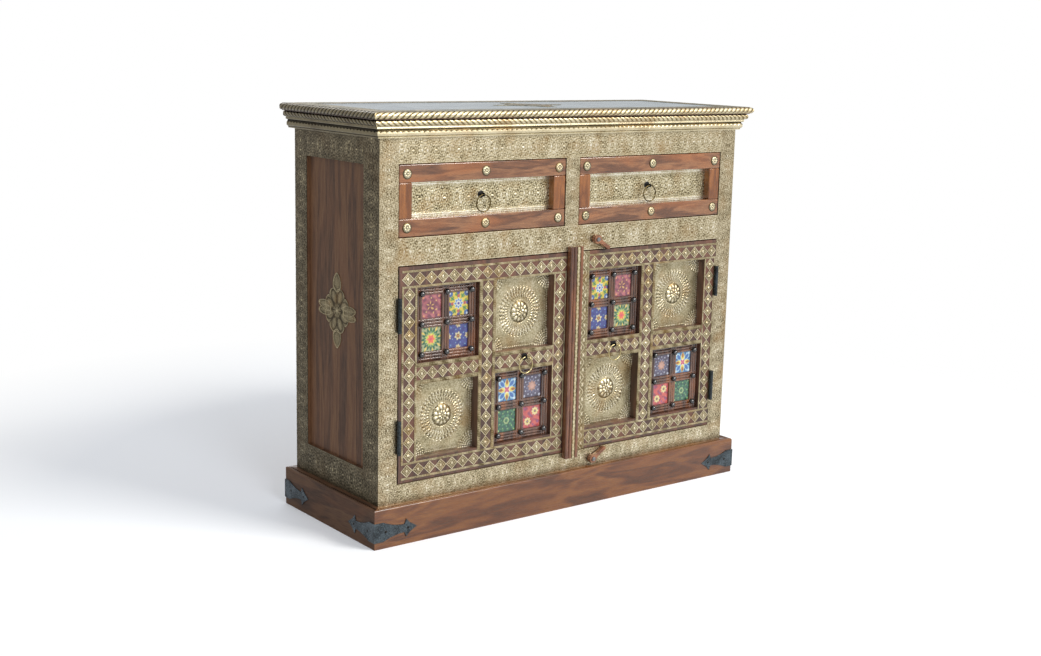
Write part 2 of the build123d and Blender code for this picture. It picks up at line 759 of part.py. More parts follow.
def make_eye(x, y, z, wall_y):
    """An iron eye whose hole runs along X, on a small round plate against the wall."""
    with BuildPart() as eye:
        with BuildSketch(Plane(origin=(x - EYE_T / 2, y, z), x_dir=(0, 1, 0), z_dir=(1, 0, 0))):
            RegularPolygon(EYE_R, EYE_SIDES)
            with Locations(((wall_y - y) / 2, 0)):
                Rectangle(wall_y - y, EYE_R)
            Circle(WIRE_R + EYE_RUNNING, mode=Mode.SUBTRACT)
        extrude(amount=EYE_T)
        with BuildSketch(Plane(origin=(x, wall_y, z), x_dir=(1, 0, 0), z_dir=(0, -1, 0))):
            RegularPolygon(EYE_PLATE_R, EYE_SIDES)
        extrude(amount=EYE_PLATE_T)
    return eye.part


def make_ring(x, y, z, ball_r):
    """A bent wire ring hanging from the eye's hole, with a small ball on it if ball_r.

    A straight run of the wire passes through the eye, so RING_R is to the runs' middles.
    """
    step = 2 * pi / RING_SIDES
    corner_r = RING_R / cos(step / 2)
    centre = (x, y, z - RING_R)
    corners = [
        (corner_r * sin((k + 0.5) * step), corner_r * cos((k + 0.5) * step))
        for k in range(RING_SIDES)
    ]
    with BuildPart() as ring:
        with BuildLine(Plane(origin=centre, x_dir=(1, 0, 0), z_dir=(0, -1, 0))) as path:
            Polyline(*corners, close=True)
        start = path.line @ 0
        with BuildSketch(Plane(origin=start, z_dir=path.line % 0)):
            RegularPolygon(WIRE_R, WIRE_SIDES)
        sweep(path=path.line, transition=Transition.RIGHT)
        if ball_r:
            angle = radians(RING_BALL_AT)
            half = faceted_dome(ball_r, ball_r, BALL_SIDES, BALL_TIERS)
            middle = (x + RING_R * sin(angle), y, z - RING_R + RING_R * cos(angle))
            with Locations(Location(middle, (90, 0, 0)), Location(middle, (-90, 0, 0))):
                add(half)
    return ring.part


# ---------------------------------------------------------------- doors


def make_door_frame(door):
    """Stiles, rails and mullions, with the backing boards that close the four openings."""
    c, r = door.columns, door.rows
    y0, y1 = DOOR_Y, DOOR_BACK_Y
    members = [
        board(c[0], c[1], y0, y1, r[0], r[5]),
        board(c[4], c[5], y0, y1, r[0], r[5]),
        board(c[1], c[4], y0, y1, r[0], r[1]),
        board(c[1], c[4], y0, y1, r[2], r[3]),
        board(c[1], c[4], y0, y1, r[4], r[5]),
        board(c[2], c[3], y0, y1, r[1], r[2]),
        board(c[2], c[3], y0, y1, r[3], r[4]),
    ]
    for cell in TILE_CELLS:
        x0, x1, z0, z1 = cell_box(door, cell)
        members.append(board(x0, x1, DOOR_Y + TILE_BACK, y1, z0, z1))
    for cell in BOSS_CELLS:
        x0, x1, z0, z1 = cell_box(door, cell)
        members.append(board(x0, x1, DOOR_Y + PANEL_RECESS + PANEL_SHEET_T, y1, z0, z1))
    save(separate(members), f"door_frame_{door.name}")


def diamond_chain(length):
    """Draw a chain of diamonds along local X, tip to tip, centred on the origin."""
    count = max(1, round(length / DIAMOND_PITCH))
    pitch = length / count
    tip = pitch / 2 + TIP_LAP
    side = DIAMOND_W / 2 - DIAMOND_GAP
    with GridLocations(pitch, 1, count, 1):
        Polygon((-tip, 0), (0, side), (tip, 0), (0, -side), align=None)
    Rectangle(length, DIAMOND_W, mode=Mode.INTERSECT)


def band_lines(door):
    """Every diamond band on a door: (x, z, along X?, length, width) about its middle."""
    c, r = door.columns, door.rows
    outer_first = door.hand < 0
    low_x = c[0] + LEFT_OUTER_STILE - BAND_W if outer_first else c[1]
    high_x = c[5]
    top_z = r[4] + BAND_W / 2
    bottom_z = r[1] - BAND_W / 2
    across = [
        ((low_x + high_x) / 2, top_z, True, high_x - low_x, BAND_W),
        ((low_x + high_x) / 2, bottom_z, True, high_x - low_x, BAND_W),
    ]
    mid_z = (r[2] + r[3]) / 2
    for k in (1, 3):
        across.append(((c[k] + c[k + 1]) / 2, mid_z, True, c[k + 1] - c[k], DOOR_MID_RAIL))
    height = r[4] - r[1]
    upright_z = (r[1] + r[4]) / 2
    upright = [((c[2] + c[3]) / 2, upright_z, False, height, MULLION_W)]
    if outer_first:
        upright.append((c[1] - BAND_W / 2, upright_z, False, height, BAND_W))
        upright.append(((c[4] + c[5]) / 2, upright_z, False, height, LEFT_INNER_STILE))
    else:
        upright.append(((c[4] + c[5]) / 2, upright_z, False, height, RIGHT_OUTER_STILE))
    return across + upright


def make_door_bands(door):
    """Thin brass bands over the frame's members: linked diamonds between two edge strips."""
    pieces = []
    for x, z, along_x, length, width in band_lines(door):
        plane = Plane(
            origin=(x, DOOR_Y, z),
            x_dir=(1, 0, 0) if along_x else (0, 0, 1),
            z_dir=(0, -1, 0),
        )
        with BuildPart() as band:
            with BuildSketch(plane):
                diamond_chain(length)
            extrude(amount=BAND_T)
            strip = (width - DIAMOND_W) / 2
            with BuildSketch(plane):
                with GridLocations(1, width - strip, 1, 2):
                    Rectangle(length, strip)
            extrude(amount=BAND_T)
        pieces.append(band.part)
    if door.hand > 0:
        x0 = ASTRAGAL_X + ASTRAGAL_W
        pieces.append(board(x0, door.columns[1], BAND_Y, DOOR_Y, door.z_low, door.z_high))
    save(separate(pieces), f"door_bands_{door.name}")


def make_embossed_panels(door):
    """Two sunk brass sheets, each raised in the middle into a petalled boss."""
    crown = faceted_dome(BOSS_CROWN_R, BOSS_H - BOSS_RING_H, BOSS_PETALS, STUD_TIERS)
    petal_angle = pi / BOSS_PETALS
    rosette = []
    for k in range(2 * BOSS_PETALS):
        reach = BOSS_R - PETAL_NOTCH * (k % 2)
        rosette.append((reach * cos(k * petal_angle), reach * sin(k * petal_angle)))
    panels = []
    for cell in BOSS_CELLS:
        x0, x1, z0, z1 = cell_box(door, cell)
        front = DOOR_Y + PANEL_RECESS
        centre = ((x0 + x1) / 2, front, (z0 + z1) / 2)
        with BuildPart() as sheet:
            with Locations((centre[0], front + PANEL_SHEET_T / 2, centre[2])):
                Box(x1 - x0, PANEL_SHEET_T, z1 - z0)
            with BuildSketch(Plane(origin=centre, x_dir=(1, 0, 0), z_dir=(0, -1, 0))):
                Polygon(*rosette, align=None)
            extrude(amount=BOSS_RING_H)
            with Locations(Location((centre[0], front - BOSS_RING_H, centre[2]), (90, 0, 0))):
                add(crown)
        panels.append(sheet.part)
    save(separate(panels), f"door_embossed_{door.name}")


def reeded_bar_outline():
    """Draw a bar's section in the current sketch: a flat back at y = 0 and reeds in front."""
    reed = BAR_W / REEDS
    spring = TILE_BACK - LATTICE_RECESS - reed / 2
    points = [(-BAR_W / 2, 0), (BAR_W / 2, 0), (BAR_W / 2, spring)]
    for k in range(REEDS):
        right = BAR_W / 2 - k * reed
        points += [(right - reed / 2, spring + reed / 2), (right - reed, spring)]
    Polygon(*points, align=None)


def make_tile_units(door):
    """Reeded lattices with their four tiles each, and a turned bead at every crossing."""
    lattices, tiles, beads = [], [], []
    back = DOOR_Y + TILE_BACK
    for cell in TILE_CELLS:
        x0, x1, z0, z1 = cell_box(door, cell)
        mid_x, mid_z = (x0 + x1) / 2, (z0 + z1) / 2
        bar_xs = (x0 + BAR_W / 2, mid_x, x1 - BAR_W / 2)
        bar_zs = (z0 + BAR_W / 2, mid_z, z1 - BAR_W / 2)
        tile_w = (x1 - x0 - 3 * BAR_W) / 2
        tile_h = (z1 - z0 - 3 * BAR_W) / 2
        with BuildPart() as lattice:
            for x in bar_xs:
                plane = Plane(origin=(x, back, z0), x_dir=(-1, 0, 0), z_dir=(0, 0, 1))
                with BuildSketch(plane):
                    reeded_bar_outline()
                extrude(amount=z1 - z0)
            for z in bar_zs:
                for k in (0, 1):
                    start = bar_xs[k] + BAR_W / 2
                    plane = Plane(origin=(start, back, z), x_dir=(0, 0, 1), z_dir=(1, 0, 0))
                    with BuildSketch(plane):
                        reeded_bar_outline()
                    extrude(amount=tile_w)
        lattices.append(lattice.part)
        for x in (mid_x - (BAR_W + tile_w) / 2, mid_x + (BAR_W + tile_w) / 2):
            for z in (mid_z - (BAR_W + tile_h) / 2, mid_z + (BAR_W + tile_h) / 2):
                tiles.append(
                    board(
                        x - tile_w / 2, x + tile_w / 2, back - TILE_T, back,
                        z - tile_h / 2, z + tile_h / 2,
                    )
                )
        beads += [
            Location((x, DOOR_Y + LATTICE_RECESS, z), (90, 0, 0))
            for x in (x0 + BEAD_IN, mid_x, x1 - BEAD_IN)
            for z in (z0 + BEAD_IN, mid_z, z1 - BEAD_IN)
        ]
    save(separate(lattices), f"door_lattice_{door.name}")
    save(separate(tiles), f"door_tiles_{door.name}")
    seat_r = (BEAD_R**2 - BEAD_LIFT**2) ** 0.5
    bead = faceted_dome(seat_r, BEAD_R + BEAD_LIFT, BEAD_SIDES, BEAD_TIERS)
    with BuildPart() as bead_set:
        with Locations(*beads):
            add(bead)
    save(bead_set.part, f"door_beads_{door.name}")


def hinge_places(door):
    """Heights of a door's two hinges."""
    return (door.z_low + HINGE_END_UP, door.z_high - HINGE_END_UP)


def make_hinges(door):
    """Knuckle hinges in the gap: the post's leaf, outer knuckles and pin; the door's leaf."""
    third = HINGE_L / 3
    pin_x = door.hand * PIN_X
    door_leaves, post_leaves = [], []
    for z in hinge_places(door):
        for on_door in (True, False):
            edge = OPEN_X - DOOR_GAP if on_door else OPEN_X
            inner = edge + LEAF_T if on_door else edge - LEAF_T
            lx0, lx1 = sorted((door.hand * edge, door.hand * inner))
            knuckles = [0] if on_door else [-1, 1]
            knuckle_h = third - (2 * KNUCKLE_GAP if on_door else 0)
            with BuildPart() as leaf:
                with Locations(((lx0 + lx1) / 2, DOOR_Y + LEAF_D / 2, z)):
                    Box(LEAF_T, LEAF_D, HINGE_L)
                with Locations(*[((lx0 + lx1) / 2, (PIN_Y + DOOR_Y) / 2, z + k * third)
                                 for k in knuckles]):
                    Box(LEAF_T, DOOR_Y - PIN_Y, knuckle_h)
                low_ends = [z + k * third - knuckle_h / 2 for k in knuckles]
                with BuildSketch(*[Plane((pin_x, PIN_Y, low)) for low in low_ends]):
                    RegularPolygon(HINGE_R, KNUCKLE_SIDES)
                extrude(amount=knuckle_h)
                if on_door:
                    with Locations((pin_x, PIN_Y, z)):
                        Cylinder(PIN_R + RUNNING, HINGE_L, mode=Mode.SUBTRACT)
                else:
                    with Locations((pin_x, PIN_Y, z)):
                        Cylinder(PIN_R, HINGE_L)
            (door_leaves if on_door else post_leaves).append(leaf.part)
    save(separate(door_leaves), f"door_hinges_{door.name}")
    return post_leaves


def make_door_pull(door):
    """The iron eye on the mid rail and the brass ring that hangs from it."""
    c, r = door.columns, door.rows
    k = 3 if door.hand < 0 else 1
    x = (c[k] + c[k + 1]) / 2
    z = (r[2] + r[3]) / 2 + EYE_ABOVE_RAIL
    y = BAND_Y - DOOR_EYE_OUT
    save(make_eye(x, y, z, BAND_Y), f"door_eye_{door.name}")
    save(make_ring(x, y, z, RING_BALL_R), f"door_ring_{door.name}")


def make_astragal(door):
    """The reeded bar over the meeting of the doors, fixed to the right door."""
    reed = ASTRAGAL_W / 4
    spring = ASTRAGAL_T - reed / 2
    z0 = door.z_low - ASTRAGAL_PAST
    with BuildPart() as astragal:
        plane = Plane(origin=(ASTRAGAL_X, DOOR_Y, z0), x_dir=(1, 0, 0), z_dir=(0, 0, 1))
        with BuildSketch(plane):
            with BuildLine():
                Line((0, 0), (ASTRAGAL_W, 0))
                Line((ASTRAGAL_W, 0), (ASTRAGAL_W, -spring))
                ThreePointArc(
                    (ASTRAGAL_W, -spring), (ASTRAGAL_W - reed / 2, -ASTRAGAL_T),
                    (ASTRAGAL_W - reed, -spring),
                )
                Line((ASTRAGAL_W - reed, -spring), (ASTRAGAL_W - 2 * reed, -spring))
                for k in (2, 3):
                    right = ASTRAGAL_W - k * reed
                    ThreePointArc(
                        (right, -spring), (right - reed / 2, -ASTRAGAL_T), (right - reed, -spring)
                    )
                Line((0, -spring), (0, 0))
            make_face()
        extrude(amount=door.z_high - door.z_low + 2 * ASTRAGAL_PAST)
    save(astragal.part, "astragal")


# ---------------------------------------------------------------- turn latches


def upper_pivot_z():
    """Height of the upper latch's screw, on the middle rail."""
    return DOORS_TOP_Z - DOOR_GAP + LATCH_OFF


def lower_pivot_z():
    """Height of the lower latch's screw, on the bottom rail."""
    return DOORS_BOTTOM_Z + DOOR_GAP - LATCH_OFF


def make_latches():
    """Two carved wooden turn-buttons and the screws that they turn on."""
    back = BAND_Y - LATCH_LIFT
    front = back - LATCH_T
    screws = []
    places = {
        "latch_upper": (LATCH_X[0], upper_pivot_z(), -LATCH_ANGLE),
        "latch_lower": (LATCH_X[1], lower_pivot_z(), LATCH_ANGLE),
    }
    for label, (x, z, angle) in places.items():
        arm = Plane(
            origin=(x, back, z),
            x_dir=(cos(radians(angle)), 0, sin(radians(angle))),
            z_dir=(0, -1, 0),
        )
        with BuildPart() as latch:
            with BuildSketch(arm):
                RegularPolygon(LATCH_HUB_R, LATCH_SIDES)
                with Locations((LATCH_L, 0)):
                    RegularPolygon(LATCH_TIP_R, LATCH_TIP_SIDES)
                Polygon(
                    (0, LATCH_ROOT_R), (LATCH_WAIST_AT, LATCH_WAIST_R), (LATCH_L, LATCH_TIP_R),
                    (LATCH_L, -LATCH_TIP_R), (LATCH_WAIST_AT, -LATCH_WAIST_R), (0, -LATCH_ROOT_R),
                    align=None,
                )
            extrude(amount=LATCH_T)
            with BuildSketch(front_plane(back)):
                with Locations((x, z)):
                    RegularPolygon(LATCH_BOSS_R, LATCH_BOSS_SIDES)
            extrude(amount=-(FACE_Y - LATCH_GAP - back))
            with BuildSketch(front_plane(front)):
                with Locations((x, z)):
                    Circle(SCREW_R + RUNNING)
            extrude(amount=-(FACE_Y - front), mode=Mode.SUBTRACT)
        save(latch.part, label)
        with BuildPart() as screw:
            with BuildSketch(front_plane(front - LATCH_GAP)):
                with Locations((x, z)):
                    RegularPolygon(SCREW_HEAD_R, SCREW_HEAD_SIDES)
            extrude(amount=SCREW_HEAD_T)
            with BuildSketch(front_plane(front - LATCH_GAP)):
                with Locations((x, z)):
                    Circle(SCREW_R)
            extrude(amount=-(WOOD_Y + SCREW_IN - front + LATCH_GAP))
        screws.append(screw.part)
    save(separate(screws), "latch_screws")


# ---------------------------------------------------------------- build


def main():
    os.makedirs("parts", exist_ok=True)
    make_plinth()
    make_straps()
    make_posts()
    make_sides()
    make_face_frame()
    make_inside()
    make_brass_sheets()
    make_side_motifs()
    make_cornice()
    make_top()
    make_drawer("left", -1)
    make_drawer("right", 1)
    post_leaves = []
    for door in DOORS:
        make_door_frame(door)
        make_door_bands(door)
        make_embossed_panels(door)
        make_tile_units(door)
        make_door_pull(door)
        post_leaves += make_hinges(door)
    save(separate(post_leaves), "post_hinges")
    make_astragal(DOORS[1])
    make_latches()


main()
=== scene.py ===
"""Surface model of a brass-clad sideboard with drawers, tiled doors and a strapped plinth.

Lengths are millimetres in the part's own frame until a mesh is made, which is in metres.
"""

import logging
from collections.abc import Callable
from dataclasses import dataclass, field
from enum import Enum
from functools import reduce
from math import cos, pi, radians, sin

import bpy
import numpy as np
from mathutils import Matrix, Vector


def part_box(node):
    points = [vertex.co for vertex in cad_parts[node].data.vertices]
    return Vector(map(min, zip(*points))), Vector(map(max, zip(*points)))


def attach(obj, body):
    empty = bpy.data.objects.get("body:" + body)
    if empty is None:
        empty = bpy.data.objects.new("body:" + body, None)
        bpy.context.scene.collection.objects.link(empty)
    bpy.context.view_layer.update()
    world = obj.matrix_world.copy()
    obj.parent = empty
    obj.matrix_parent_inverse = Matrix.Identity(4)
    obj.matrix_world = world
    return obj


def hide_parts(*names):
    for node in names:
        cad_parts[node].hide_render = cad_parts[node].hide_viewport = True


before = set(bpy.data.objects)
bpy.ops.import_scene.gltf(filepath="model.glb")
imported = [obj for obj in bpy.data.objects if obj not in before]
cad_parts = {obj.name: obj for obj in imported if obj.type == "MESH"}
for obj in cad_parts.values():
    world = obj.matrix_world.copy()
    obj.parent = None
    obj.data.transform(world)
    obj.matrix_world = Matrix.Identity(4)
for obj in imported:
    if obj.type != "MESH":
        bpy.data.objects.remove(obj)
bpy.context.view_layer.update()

log = logging.getLogger("sideboard")

MM = 0.001
SHARP = radians(38)
TURN = 2 * pi
RIGHT, DEEP, UP, FRONT = (1, 0, 0), (0, 1, 0), (0, 0, 1), (0, -1, 0)


# ------------------------------------------------------------------ small tools


def rgba(code: str) -> tuple[float, float, float, float]:
    """Turn an sRGB hex colour into linear light.

    Args:
        code: six hex digits.

    Returns:
        Linear red, green, blue and a full alpha.
    """
    shares = [int(code[k : k + 2], 16) / 255 for k in (0, 2, 4)]
    linear = [c / 12.92 if c <= 0.04045 else ((c + 0.055) / 1.055) ** 2.4 for c in shares]
    return (*linear, 1.0)


def corners(node: str) -> tuple[np.ndarray, np.ndarray]:
    """Return the lowest and highest corner of a CAD node in millimetres."""
    low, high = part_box(node)
    return np.array(low) / MM, np.array(high) / MM


def wrap(x: np.ndarray, period: float) -> np.ndarray:
    """Return the signed distance to the nearest multiple of the period."""
    return x - period * np.round(x / period)


def dome(distance: np.ndarray, radius: float) -> np.ndarray:
    """Return a paraboloid: one less the square of distance over radius, never below zero."""
    return np.clip(1 - (distance / radius) ** 2, 0, 1)


def ridge(distance: np.ndarray, width: float) -> np.ndarray:
    """Return a bell: e to the minus square of distance over width."""
    return np.exp(-((distance / width) ** 2))


def highest(fields: list[np.ndarray]) -> np.ndarray:
    """Return the largest of several fields at each point."""
    return reduce(np.maximum, fields)


def leaf(u: np.ndarray, v: np.ndarray, length: float, width: float) -> np.ndarray:
    """Return a pointed leaf lying along u, from the origin to its length.

    Its half width is half the given width times the sine of pi times the share of the
    length, and its height falls from one on the midrib to zero at the rim.
    """
    share = np.clip(u / length, 0, 1)
    half = width / 2 * np.sin(pi * share) ** 0.8 + 1e-6
    return np.where((u > 0) & (u < length), np.clip(1 - (v / half) ** 2, 0, 1), 0)


def leafage(u: np.ndarray, v: np.ndarray, pitch: float) -> np.ndarray:
    """Return small leaves on a square lattice, slanted to the left and right in turn.

    The lattice is bent by slow sines. A leaf is a dome over an ellipse whose axes lie on
    the cell's two diagonals.
    """
    u = u + 0.34 * pitch * np.sin(TURN * v / (2.9 * pitch)) + 0.3 * pitch
    v = v + 0.3 * pitch * np.sin(TURN * u / (3.7 * pitch))
    i, j = np.round(u / pitch), np.round(v / pitch)
    du, dv = u - pitch * i, v - pitch * j
    hand = 1 - 2 * ((i + j) % 2)
    p, q = (du + hand * dv) / 2 ** 0.5, (du - hand * dv) / 2 ** 0.5
    return dome(np.hypot(p / (0.68 * pitch), q / (0.34 * pitch)), 1.0)


def wander(u: np.ndarray, v: np.ndarray, scale: float) -> np.ndarray:
    """Return smooth unevenness from 0 to 1: three crossed sines of unequal lengths."""
    a, b = u / scale, v / scale
    waves = np.sin(a + 1.7 * np.sin(0.7 * b)) + np.sin(1.3 * b + 1.1 * np.sin(0.9 * a))
    return np.clip(0.5 + (waves + np.sin(0.8 * (a + b))) / 6, 0, 1)


class Shell:
    """Points and faces gathered from closed surfaces, then made into one mesh."""

    def __init__(self) -> None:
        """Start with nothing."""
        self.points: list[np.ndarray] = []
        self.values: list[np.ndarray] = []
        self.faces: list[np.ndarray] = []
        self.count = 0

    def add(self, points: np.ndarray, values: np.ndarray | float) -> np.ndarray:
        """Take in a grid of points.

        Args:
            points: rows by columns by 3.
            values: the relief or colour at each point.

        Returns:
            The points' indices, in the grid's shape.
        """
        shape = points.shape[:-1]
        width = 3 if np.ndim(values) == len(shape) + 1 else 1
        filled = np.broadcast_to(values, (*shape, 3) if width == 3 else shape)
        self.points.append(points.reshape(-1, 3))
        self.values.append(filled.reshape(-1, width))
        ids = np.arange(np.prod(shape)) + self.count
        self.count += ids.size
        return ids.reshape(shape)

    def close(self, faces: list[np.ndarray], grids: int = 1) -> None:
        """Take in one closed surface's faces, turned so that they point outwards.

        The volume is the sum of each face's fan of tetrahedra on the origin. Where it is
        below zero, every face is turned round.

        Args:
            faces: arrays of indices, a face in each row.
            grids: how many of the last grids of points belong to the surface.
        """
        xyz = np.concatenate(self.points[-grids:])
        first = self.count - len(xyz)
        volume = 0.0
        for rows in faces:
            p = xyz[rows - first]
            fans = np.cross(p[:, 1:-1] - p[:, :1], p[:, 2:] - p[:, :1])
            volume += float((fans * p[:, :1]).sum())
        self.faces += [rows[:, ::-1] if volume < 0 else rows for rows in faces]

    def loft(self, rings: np.ndarray, values: np.ndarray | float = 0.0) -> None:
        """Join closed rings of points in order, and cap the first and last.

        Args:
            rings: rings by points round by 3.
            values: relief or colour at each point.
        """
        ids = self.add(rings, values)
        around = np.concatenate([ids, ids[:, :1]], 1)
        self.close([quads(around), ids[:1], ids[-1:, ::-1]])

    def plate(self, top: np.ndarray, floor: np.ndarray, values: np.ndarray,
              bare: np.ndarray | float = 0.0) -> None:
        """Make a sheet from its worked face and the flat back under its edge.

        Args:
            top: rows by columns by 3.
            floor: the same grid on the back's plane, of which only the edge is used.
            values: relief or colour at each point of the face.
            bare: relief or colour of the back.
        """

        def edge(grid: np.ndarray) -> np.ndarray:
            """Return a grid's outermost points, once round."""
            return np.concatenate([grid[0], grid[1:, -1], grid[-1, -2::-1], grid[-2:0:-1, 0]])

        ids = self.add(top, values)
        back = self.add(edge(floor)[None], bare)[0]
        rims = [np.append(rim, rim[0]) for rim in (back, edge(ids))]
        self.close([quads(ids), quads(np.stack(rims)), back[None]], grids=2)

    def box(self, low: tuple[float, ...], high: tuple[float, ...]) -> None:
        """Make a plain bar between two corners."""
        (x0, y0, z0), (x1, y1, z1) = low, high
        ring = [(x0, y0), (x1, y0), (x1, y1), (x0, y1)]
        self.loft(np.array([[(x, y, z) for x, y in ring] for z in (z0, z1)]))

    def piece(
        self,
        name: str,
        body: str,
        slot: str,
        finish: "Finish",
        replaces: str = "",
        attribute: str = "relief",
    ) -> bpy.types.Object:
        """Make the mesh, give it its finish, hang it on its body and hide the CAD node that it
        stands for.

        Args:
            name: the piece's name.
            body: the CAD body that it moves with.
            slot: the slot that its finish comes from; not used.
            finish: what it is coated with or made of.
            replaces: the CAD node that it stands for, if any.
            attribute: the name under which the values are kept.

        Returns:
            The object, at the origin.
        """
        xyz = np.concatenate(self.points) * MM
        mesh = bpy.data.meshes.new(name)
        mesh.vertices.add(len(xyz))
        mesh.vertices.foreach_set("co", xyz.ravel())
        loops = np.concatenate([rows.ravel() for rows in self.faces])
        sizes = np.concatenate([np.full(len(rows), rows.shape[1]) for rows in self.faces])
        mesh.loops.add(len(loops))
        mesh.loops.foreach_set("vertex_index", loops)
        mesh.polygons.add(len(sizes))
        mesh.polygons.foreach_set("loop_start", np.cumsum(sizes) - sizes)
        values = np.concatenate(self.values)
        if values.shape[1] == 3:
            layer = mesh.attributes.new(attribute, "FLOAT_COLOR", "POINT")
            colour = np.concatenate([values, np.ones((len(values), 1))], 1)
            layer.data.foreach_set("color", colour.ravel())
        else:
            layer = mesh.attributes.new(attribute, "FLOAT", "POINT")
            layer.data.foreach_set("value", values.ravel())
        mesh.update(calc_edges=True)
        mesh.validate()
        mesh.shade_smooth()
        mesh.set_sharp_from_angle(angle=SHARP)
        mesh.materials.append(finish.material())
        obj = bpy.data.objects.new(name, mesh)
        bpy.context.collection.objects.link(obj)
        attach(obj, body)
        if replaces:
            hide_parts(replaces)
        log.info("%s: %d faces, on %s", name, len(sizes), body)
        return obj


def quads(ids: np.ndarray) -> np.ndarray:
    """Return the four-sided faces between neighbouring points of a grid of indices."""
    parts = (ids[:-1, :-1], ids[1:, :-1], ids[1:, 1:], ids[:-1, 1:])
    return np.stack([part.ravel() for part in parts], 1)


@dataclass(frozen=True)
class Place:
    """A flat working plane: where it is, which ways its two axes run, and which way is out."""

    origin: tuple[float, float, float]
    along: tuple[float, float, float]
    across: tuple[float, float, float]
    out: tuple[float, float, float]

    def at(self, u: np.ndarray, v: np.ndarray, h: np.ndarray | float) -> np.ndarray:
        """Return the points u along, v across and h out from the plane."""
        u, v, h = np.broadcast_arrays(u, v, h)
        axes = np.array([self.along, self.across, self.out])
        return np.array(self.origin) + np.stack([u, v, h], -1) @ axes


def front_at(x: float, y: float, z: float, upright: bool = False) -> Place:
    """Return a plane that faces the front, its long way across or upright."""
    along, across = (UP, RIGHT) if upright else (RIGHT, UP)
    return Place((x, y, z), along, across, FRONT)


def lathe(shell: Shell, place: Place, profile: list[tuple[float, float]], count: int,
          middle: tuple[float, float] = (0.0, 0.0), value: float = 0.6) -> None:
    """Turn a profile about the plane's normal.

    Args:
        shell: where the surface goes.
        place: the plane.
        profile: pairs of radius and height, from the foot to the crown.
        count: points round.
        middle: the axis on the plane.
        value: relief kept at every point.
    """
    angle = np.arange(count) * TURN / count
    radius, height = (np.array(column)[:, None] for column in zip(*profile))
    u = middle[0] + radius * np.cos(angle)
    v = middle[1] + radius * np.sin(angle)
    shell.loft(place.at(u, v, height), value)


def tube(shell: Shell, spine: np.ndarray, side: tuple[float, ...], radius: float,
         count: int) -> None:
    """Make a closed ring of round wire.

    Args:
        shell: where the surface goes.
        spine: points of a flat closed line.
        side: the line's plane normal.
        radius: of the wire.
        count: points round the wire.
    """
    ahead = np.roll(spine, -1, 0) - np.roll(spine, 1, 0)
    ahead /= np.linalg.norm(ahead, axis=1, keepdims=True)
    outward = np.cross(ahead, side)
    angle = (np.arange(count) * TURN / count)[:, None]
    rings = spine[:, None] + radius * (
        np.cos(angle) * outward[:, None] + np.sin(angle) * np.array(side)
    )
    ids = shell.add(rings, 0.6)
    ids = np.concatenate([ids, ids[:1]])
    shell.close([quads(np.concatenate([ids, ids[:, :1]], 1))])


# ------------------------------------------------------------------ finishes


Size = tuple[float, float, float]
Socket = bpy.types.NodeSocket


class Nodes:
    """A shader node tree, with short ways to add to it."""

    def __init__(self, tree: bpy.types.NodeTree) -> None:
        """Take the tree."""
        self.tree = tree

    def add(self, kind: str, inputs: dict | None = None, **settings: object) -> bpy.types.Node:
        """Add a shader node.

        Args:
            kind: the node's type, without its ShaderNode prefix.
            inputs: socket name or number to a value, or to a socket that is linked in.
            settings: the node's own properties.

        Returns:
            The node.
        """
        made = self.tree.nodes.new("ShaderNode" + kind)
        for key, value in settings.items():
            setattr(made, key, value)
        self.fill(made, inputs or {})
        return made

    def fill(self, node: bpy.types.Node, inputs: dict) -> None:
        """Set a node's own sockets, or link sockets to them."""
        for key, value in inputs.items():
            if isinstance(value, Socket):
                self.tree.links.new(value, node.inputs[key])
            else:
                node.inputs[key].default_value = value

    def math(self, operation: str, *terms: Socket | float) -> Socket:
        """Return the result of a sum on sockets and numbers."""
        return self.add("Math", dict(enumerate(terms)), operation=operation).outputs[0]

    def ramp(self, factor: Socket, stops: list[tuple[float, str]]) -> Socket:
        """Look a factor up on a colour ramp of positions and sRGB hex colours."""
        made = self.add("ValToRGB", {"Fac": factor})
        points = made.color_ramp.elements
        while len(points) < len(stops):
            points.new(0.5)
        for point, (place, code) in zip(points, stops):
            point.position = place
            point.color = rgba(code)
        return made.outputs["Color"]

    def spread(self, value: Socket, low: float, high: float, to_low: float,
               to_high: float) -> Socket:
        """Map a value from one span to another, held within it."""
        inputs = {"Value": value, "From Min": low, "From Max": high, "To Min": to_low,
                  "To Max": to_high}
        return self.add("MapRange", inputs).outputs["Result"]

    def mix(self, share: Socket, colour: Socket, code: str) -> Socket:
        """Mix a share of an sRGB hex colour into a colour."""
        inputs = {"Fac": share, "Color1": colour, "Color2": rgba(code)}
        return self.add("MixRGB", inputs).outputs["Color"]

    def place_mm(self, size: Size) -> Socket:
        """Return Object coordinates in which one unit is the given size in millimetres."""
        coords = self.add("TexCoord").outputs["Object"]
        inputs = {"Vector": coords, "Scale": tuple(1 / (MM * s) for s in size)}
        return self.add("Mapping", inputs).outputs["Vector"]

    def noise(self, size: Size | float, detail: float, bend: float = 0.0) -> Socket:
        """Return noise whose figure has the given size in millimetres."""
        inputs = {"Vector": self.place_mm(size if isinstance(size, tuple) else (size,) * 3),
                  "Scale": 1.0, "Detail": detail, "Distortion": bend}
        return self.add("TexNoise", inputs).outputs["Fac"]

    def cells(self, size: float, **settings: object) -> Socket:
        """Return the distance to the middle of the nearest of many cells of a size."""
        inputs = {"Vector": self.place_mm((size,) * 3), "Scale": 1.0}
        return self.add("TexVoronoi", inputs, **settings).outputs["Distance"]


